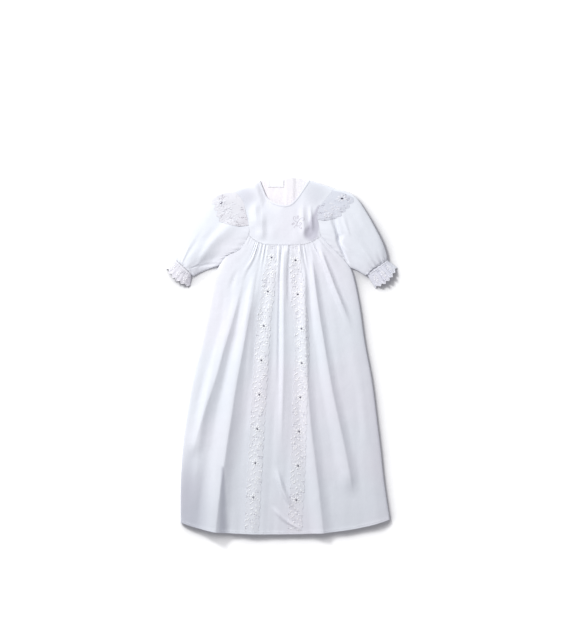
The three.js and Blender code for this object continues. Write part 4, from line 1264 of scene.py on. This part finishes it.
# The frills' lace and satin stitch are coloured greyer and darker than the skirt's: painted shade, warmer on
# the left frill and cooler on the right.
FRILL_LACE_PAINTED_SHADE = {
    "left": lace_finish("warm_sheer_lace_painted_shade", (0.82, 0.81, 0.86), (0.73, 0.715, 0.765), (0.52, 0.49, 0.55)),
    "right": lace_finish("cool_sheer_lace_painted_shade", (0.74, 0.755, 0.83), (0.66, 0.675, 0.75), (0.5, 0.5, 0.58)),
}
FRILL_SATIN_PAINTED_SHADE = cloth_finish("frill_satin_painted_shade", (0.81, 0.805, 0.86), (0.76, 0.755, 0.81), 1600, 0.6, 0.1, 0.5, 0)
FRILL_LENGTH = {"left": 81, "right": 75}
FRILL_DEEP = 40
FRILL_CORD = {"radius": 0.22, "ends": (0.004, 0.996), "at": (0.985, 0.72), "sunk": 0.1}
CORD_POINTS = 260
FRILL_BEAD = {"left": (18, 30), "right": (10, 22)}
FRILL_HEARTS = ((38, 24), (60, 22))
FRILL_FLOWER = {"petals": 7, "reach": 5.2, "start": 0, "size": (6.4, 3.8), "high": 0.8}
FRILL_LEAVES = {"count": 13, "first": 5, "step": 5.6, "down": 35, "size": (5, 2.4), "lean": 0.6, "high": 0.6}
FRILL_LONG_LEAVES = {"across": (27, 50), "down": 14, "size": (9, 4), "turn": 1.2, "high": 0.7}


def frill_point(side, along, q, lift=0.0):
    """A place on a shoulder frill: along from the shoulder's tip, and q from the seam to the free edge."""
    frill = FRILLS[side]
    s = mix(frill["start"], frill["end"], along)
    scallop = 1 + FRILL["scallop"] * np.abs(np.sin(np.pi * FRILL["scallops"] * along))
    t = q * through(frill["reach"], along) * scallop
    wave = FRILL["high"] * q * (1 + np.cos(2 * np.pi * FRILL["waves"] * along))
    turn = 2 * np.pi * FRILL_RUFFLE["count"] * along + FRILL_RUFFLE["phase"]
    ruffle = FRILL_RUFFLE["high"] * q * np.cos(turn)
    above = FRILL["lift"] + FRILL["stand"] * q + wave + ruffle + lift
    part = mix(1, FRILL_EDGE["part"], ease(q, FRILL_EDGE["from"], 1))
    z = sleeve_height(side, s, t, 0) + above * part
    return np.concatenate([sleeve_plan(side, s, t), z[..., None]], -1)


def shoulder_frill(side):
    """The frill, a flower with a bead at its shoulder end, leaves along it and a cord on its edge."""
    along, q = unit_grid(*FRILL_GRID)
    face = frill_point(side, along, q)
    name = "lace_frill_" + side
    mesh = wall_mesh(name, frill_point(side, along, q, LACE_THICK), face, grid_uv(face))
    piece = dressed(name, mesh, FRILL_LACE_PAINTED_SHADE[side], "lace", "shoulder_frill_" + side)

    def place(across, down):
        along, q = np.clip(across / FRILL_LENGTH[side], 0, 1), np.clip(down / FRILL_DEEP, 0, 1)
        return frill_point(side, along, q, LACE_THICK)

    bead = np.array(FRILL_BEAD[side])
    hearts = np.array([bead, *FRILL_HEARTS])
    long = FRILL_LONG_LEAVES
    rows = dome_rows([
        flower_row(FRILL_FLOWER, hearts[:, :1], hearts[:, 1:]),
        edge_leaves(FRILL_LEAVES),
        (long["across"], long["down"], *long["size"], long["turn"], long["high"]),
    ])
    run = np.linspace(*FRILL_CORD["ends"], CORD_POINTS)
    above = LACE_THICK - FRILL_CORD["sunk"]
    edges = [frill_point(side, run, run * 0 + at, above) for at in FRILL_CORD["at"]]
    sewn = [
        sewn_domes("frill_flowers_" + side, place, rows, FRILL_SATIN_PAINTED_SHADE),
        sewn_cords("frill_cords_" + side, edges, FRILL_CORD["radius"], FRILL_SATIN_PAINTED_SHADE),
        beads("frill_bead_" + side, place, *bead[:, None]),
    ]


for side in FRILLS:
    shoulder_frill(side)

# The cuff frills are strips of the lace, gathered onto the wrists. Each lies closed round the wrist's
# opening, with a scalloped free edge.
WRIST_GAP = 0.8
# Each free edge runs from its outer to its under corner, and bows out to one side of that line.
CUFFS = {
    "left": {
        "outer": (-260, 204), "under": (-205, 157), "out": -1, "scallop": -2.2, "wave": 0.35, "ruffle": 0.1,
    },
    "right": {
        "outer": (260, 200), "under": (211, 154), "out": 1, "scallop": 2.2, "wave": 1.3, "ruffle": 1.4,
    },
}
CUFF_BOW = 9
CUFF_WAVES = 6
CUFF_RUFFLES = {"count": 9, "wrist": 0.4, "phase": 0.7}
CUFF_HEIGHT = (10, 11)
CUFF_ROUNDNESS = 1.3
CUFF_GRID = {"along": 30, "front": 150, "back": 40}
CUFF_SIZE = (72, 26)
CUFF_CORD = {"radius": 0.5, "ends": (0.03, 0.97), "at": (0.985, 0.1)}
CUFF_HEARTS = {"across": (14, 36, 58), "down": 14}
CUFF_FLOWER = {"petals": 6, "reach": 4, "start": 0, "size": (5.2, 3), "high": 0.9}
CUFF_LEAVES = {"count": 9, "first": 7, "step": 7.2, "down": 22.5, "size": (4, 2.2), "lean": 0.5, "high": 0.7}
# The left cuff's lace is coloured darker and greyer than the right's: painted shade.
CUFF_LACE_PAINTED_SHADE = {
    "left": lace_finish("cuff_lace_left_painted_shade", (0.755, 0.75, 0.805), (0.71, 0.705, 0.76), (0.6, 0.595, 0.66)),
    "right": lace_finish("cuff_lace_right", (0.82, 0.84, 0.915), (0.77, 0.785, 0.86), (0.66, 0.67, 0.76)),
}


def cuff_plan(side, s, t):
    """Where a cuff frill lies: t runs from the wrist to the free edge, which bows out and is scalloped."""
    cuff = CUFFS[side]
    outer, under = np.array(cuff["outer"], float), np.array(cuff["under"], float)
    run = under - outer
    out = np.array([-run[1], run[0]]) * cuff["out"] / np.linalg.norm(run)
    edge = CUFF_BOW * np.sin(np.pi * np.clip(s, 0, 1)) + cuff["scallop"] * np.cos(2 * np.pi * CUFF_WAVES * s)
    wrist, free = sleeve_plan(side, s, t * 0 + 1), mix(outer, under, s[..., None])
    return mix(wrist, free, t[..., None]) + mix(WRIST_GAP, edge, t)[..., None] * out


def cuff_height(side, s, t):
    """The frill's front rises over the wrist and waves more towards its free edge."""
    cuff = CUFFS[side]
    wave = cuff["wave"] * ease(t, 0, 1) * np.cos(2 * np.pi * CUFF_WAVES * s)
    turn = 2 * np.pi * CUFF_RUFFLES["count"] * s + CUFF_RUFFLES["phase"]
    ruffle = cuff["ruffle"] * mix(CUFF_RUFFLES["wrist"], 1, t) * np.cos(turn)
    return dome(s, mix(SLEEVE_ROUNDNESS, CUFF_ROUNDNESS, t)) * (mix(*CUFF_HEIGHT, t) + wave + ruffle)


def cuff_frill(side):
    """The frill, three flowers across its front, and cords on its edge and beside the elastic."""
    name = "lace_cuff_" + side
    mesh = tube_mesh(name, CUFF_GRID, side, cuff_plan, cuff_height, LACE_THICK)
    piece = dressed(name, mesh, CUFF_LACE_PAINTED_SHADE[side], "lace", "cuff_frill_" + side)

    def place(across, down):
        s, t = across / CUFF_SIZE[0], np.clip(down / CUFF_SIZE[1], 0, 1)
        return np.concatenate([cuff_plan(side, s, t), cuff_height(side, s, t)[..., None]], -1)

    hearts = np.array(CUFF_HEARTS["across"])[:, None]
    rows = dome_rows([flower_row(CUFF_FLOWER, hearts, CUFF_HEARTS["down"]), edge_leaves(CUFF_LEAVES)])
    run = np.linspace(*CUFF_CORD["ends"], CORD_POINTS) * CUFF_SIZE[0]
    edges = [place(run, run * 0 + at * CUFF_SIZE[1]) for at in CUFF_CORD["at"]]
    sewn = [
        sewn_domes("cuff_flowers_" + side, place, rows, SATIN),
        sewn_cords("cuff_cords_" + side, edges, CUFF_CORD["radius"], SATIN),
    ]


for side in CUFFS:
    cuff_frill(side)

# The front skirt's hem is a narrow rolled one, topstitched in white cotton a little above its edge. It
# is the last seam to be sewn.
line = np.linspace(*HEM_STITCHES["ends"], 900)
hem_v = down_share(HEM_Y + HEM["deep"] - HEM_STITCHES["below"]) * np.ones(line.shape)
hem_path = skirt_face(line, hem_v) + (0, 0, HEM["raise"])
hem_stitches = stitches("hem_stitches", hem_path, HEM_STITCHES)
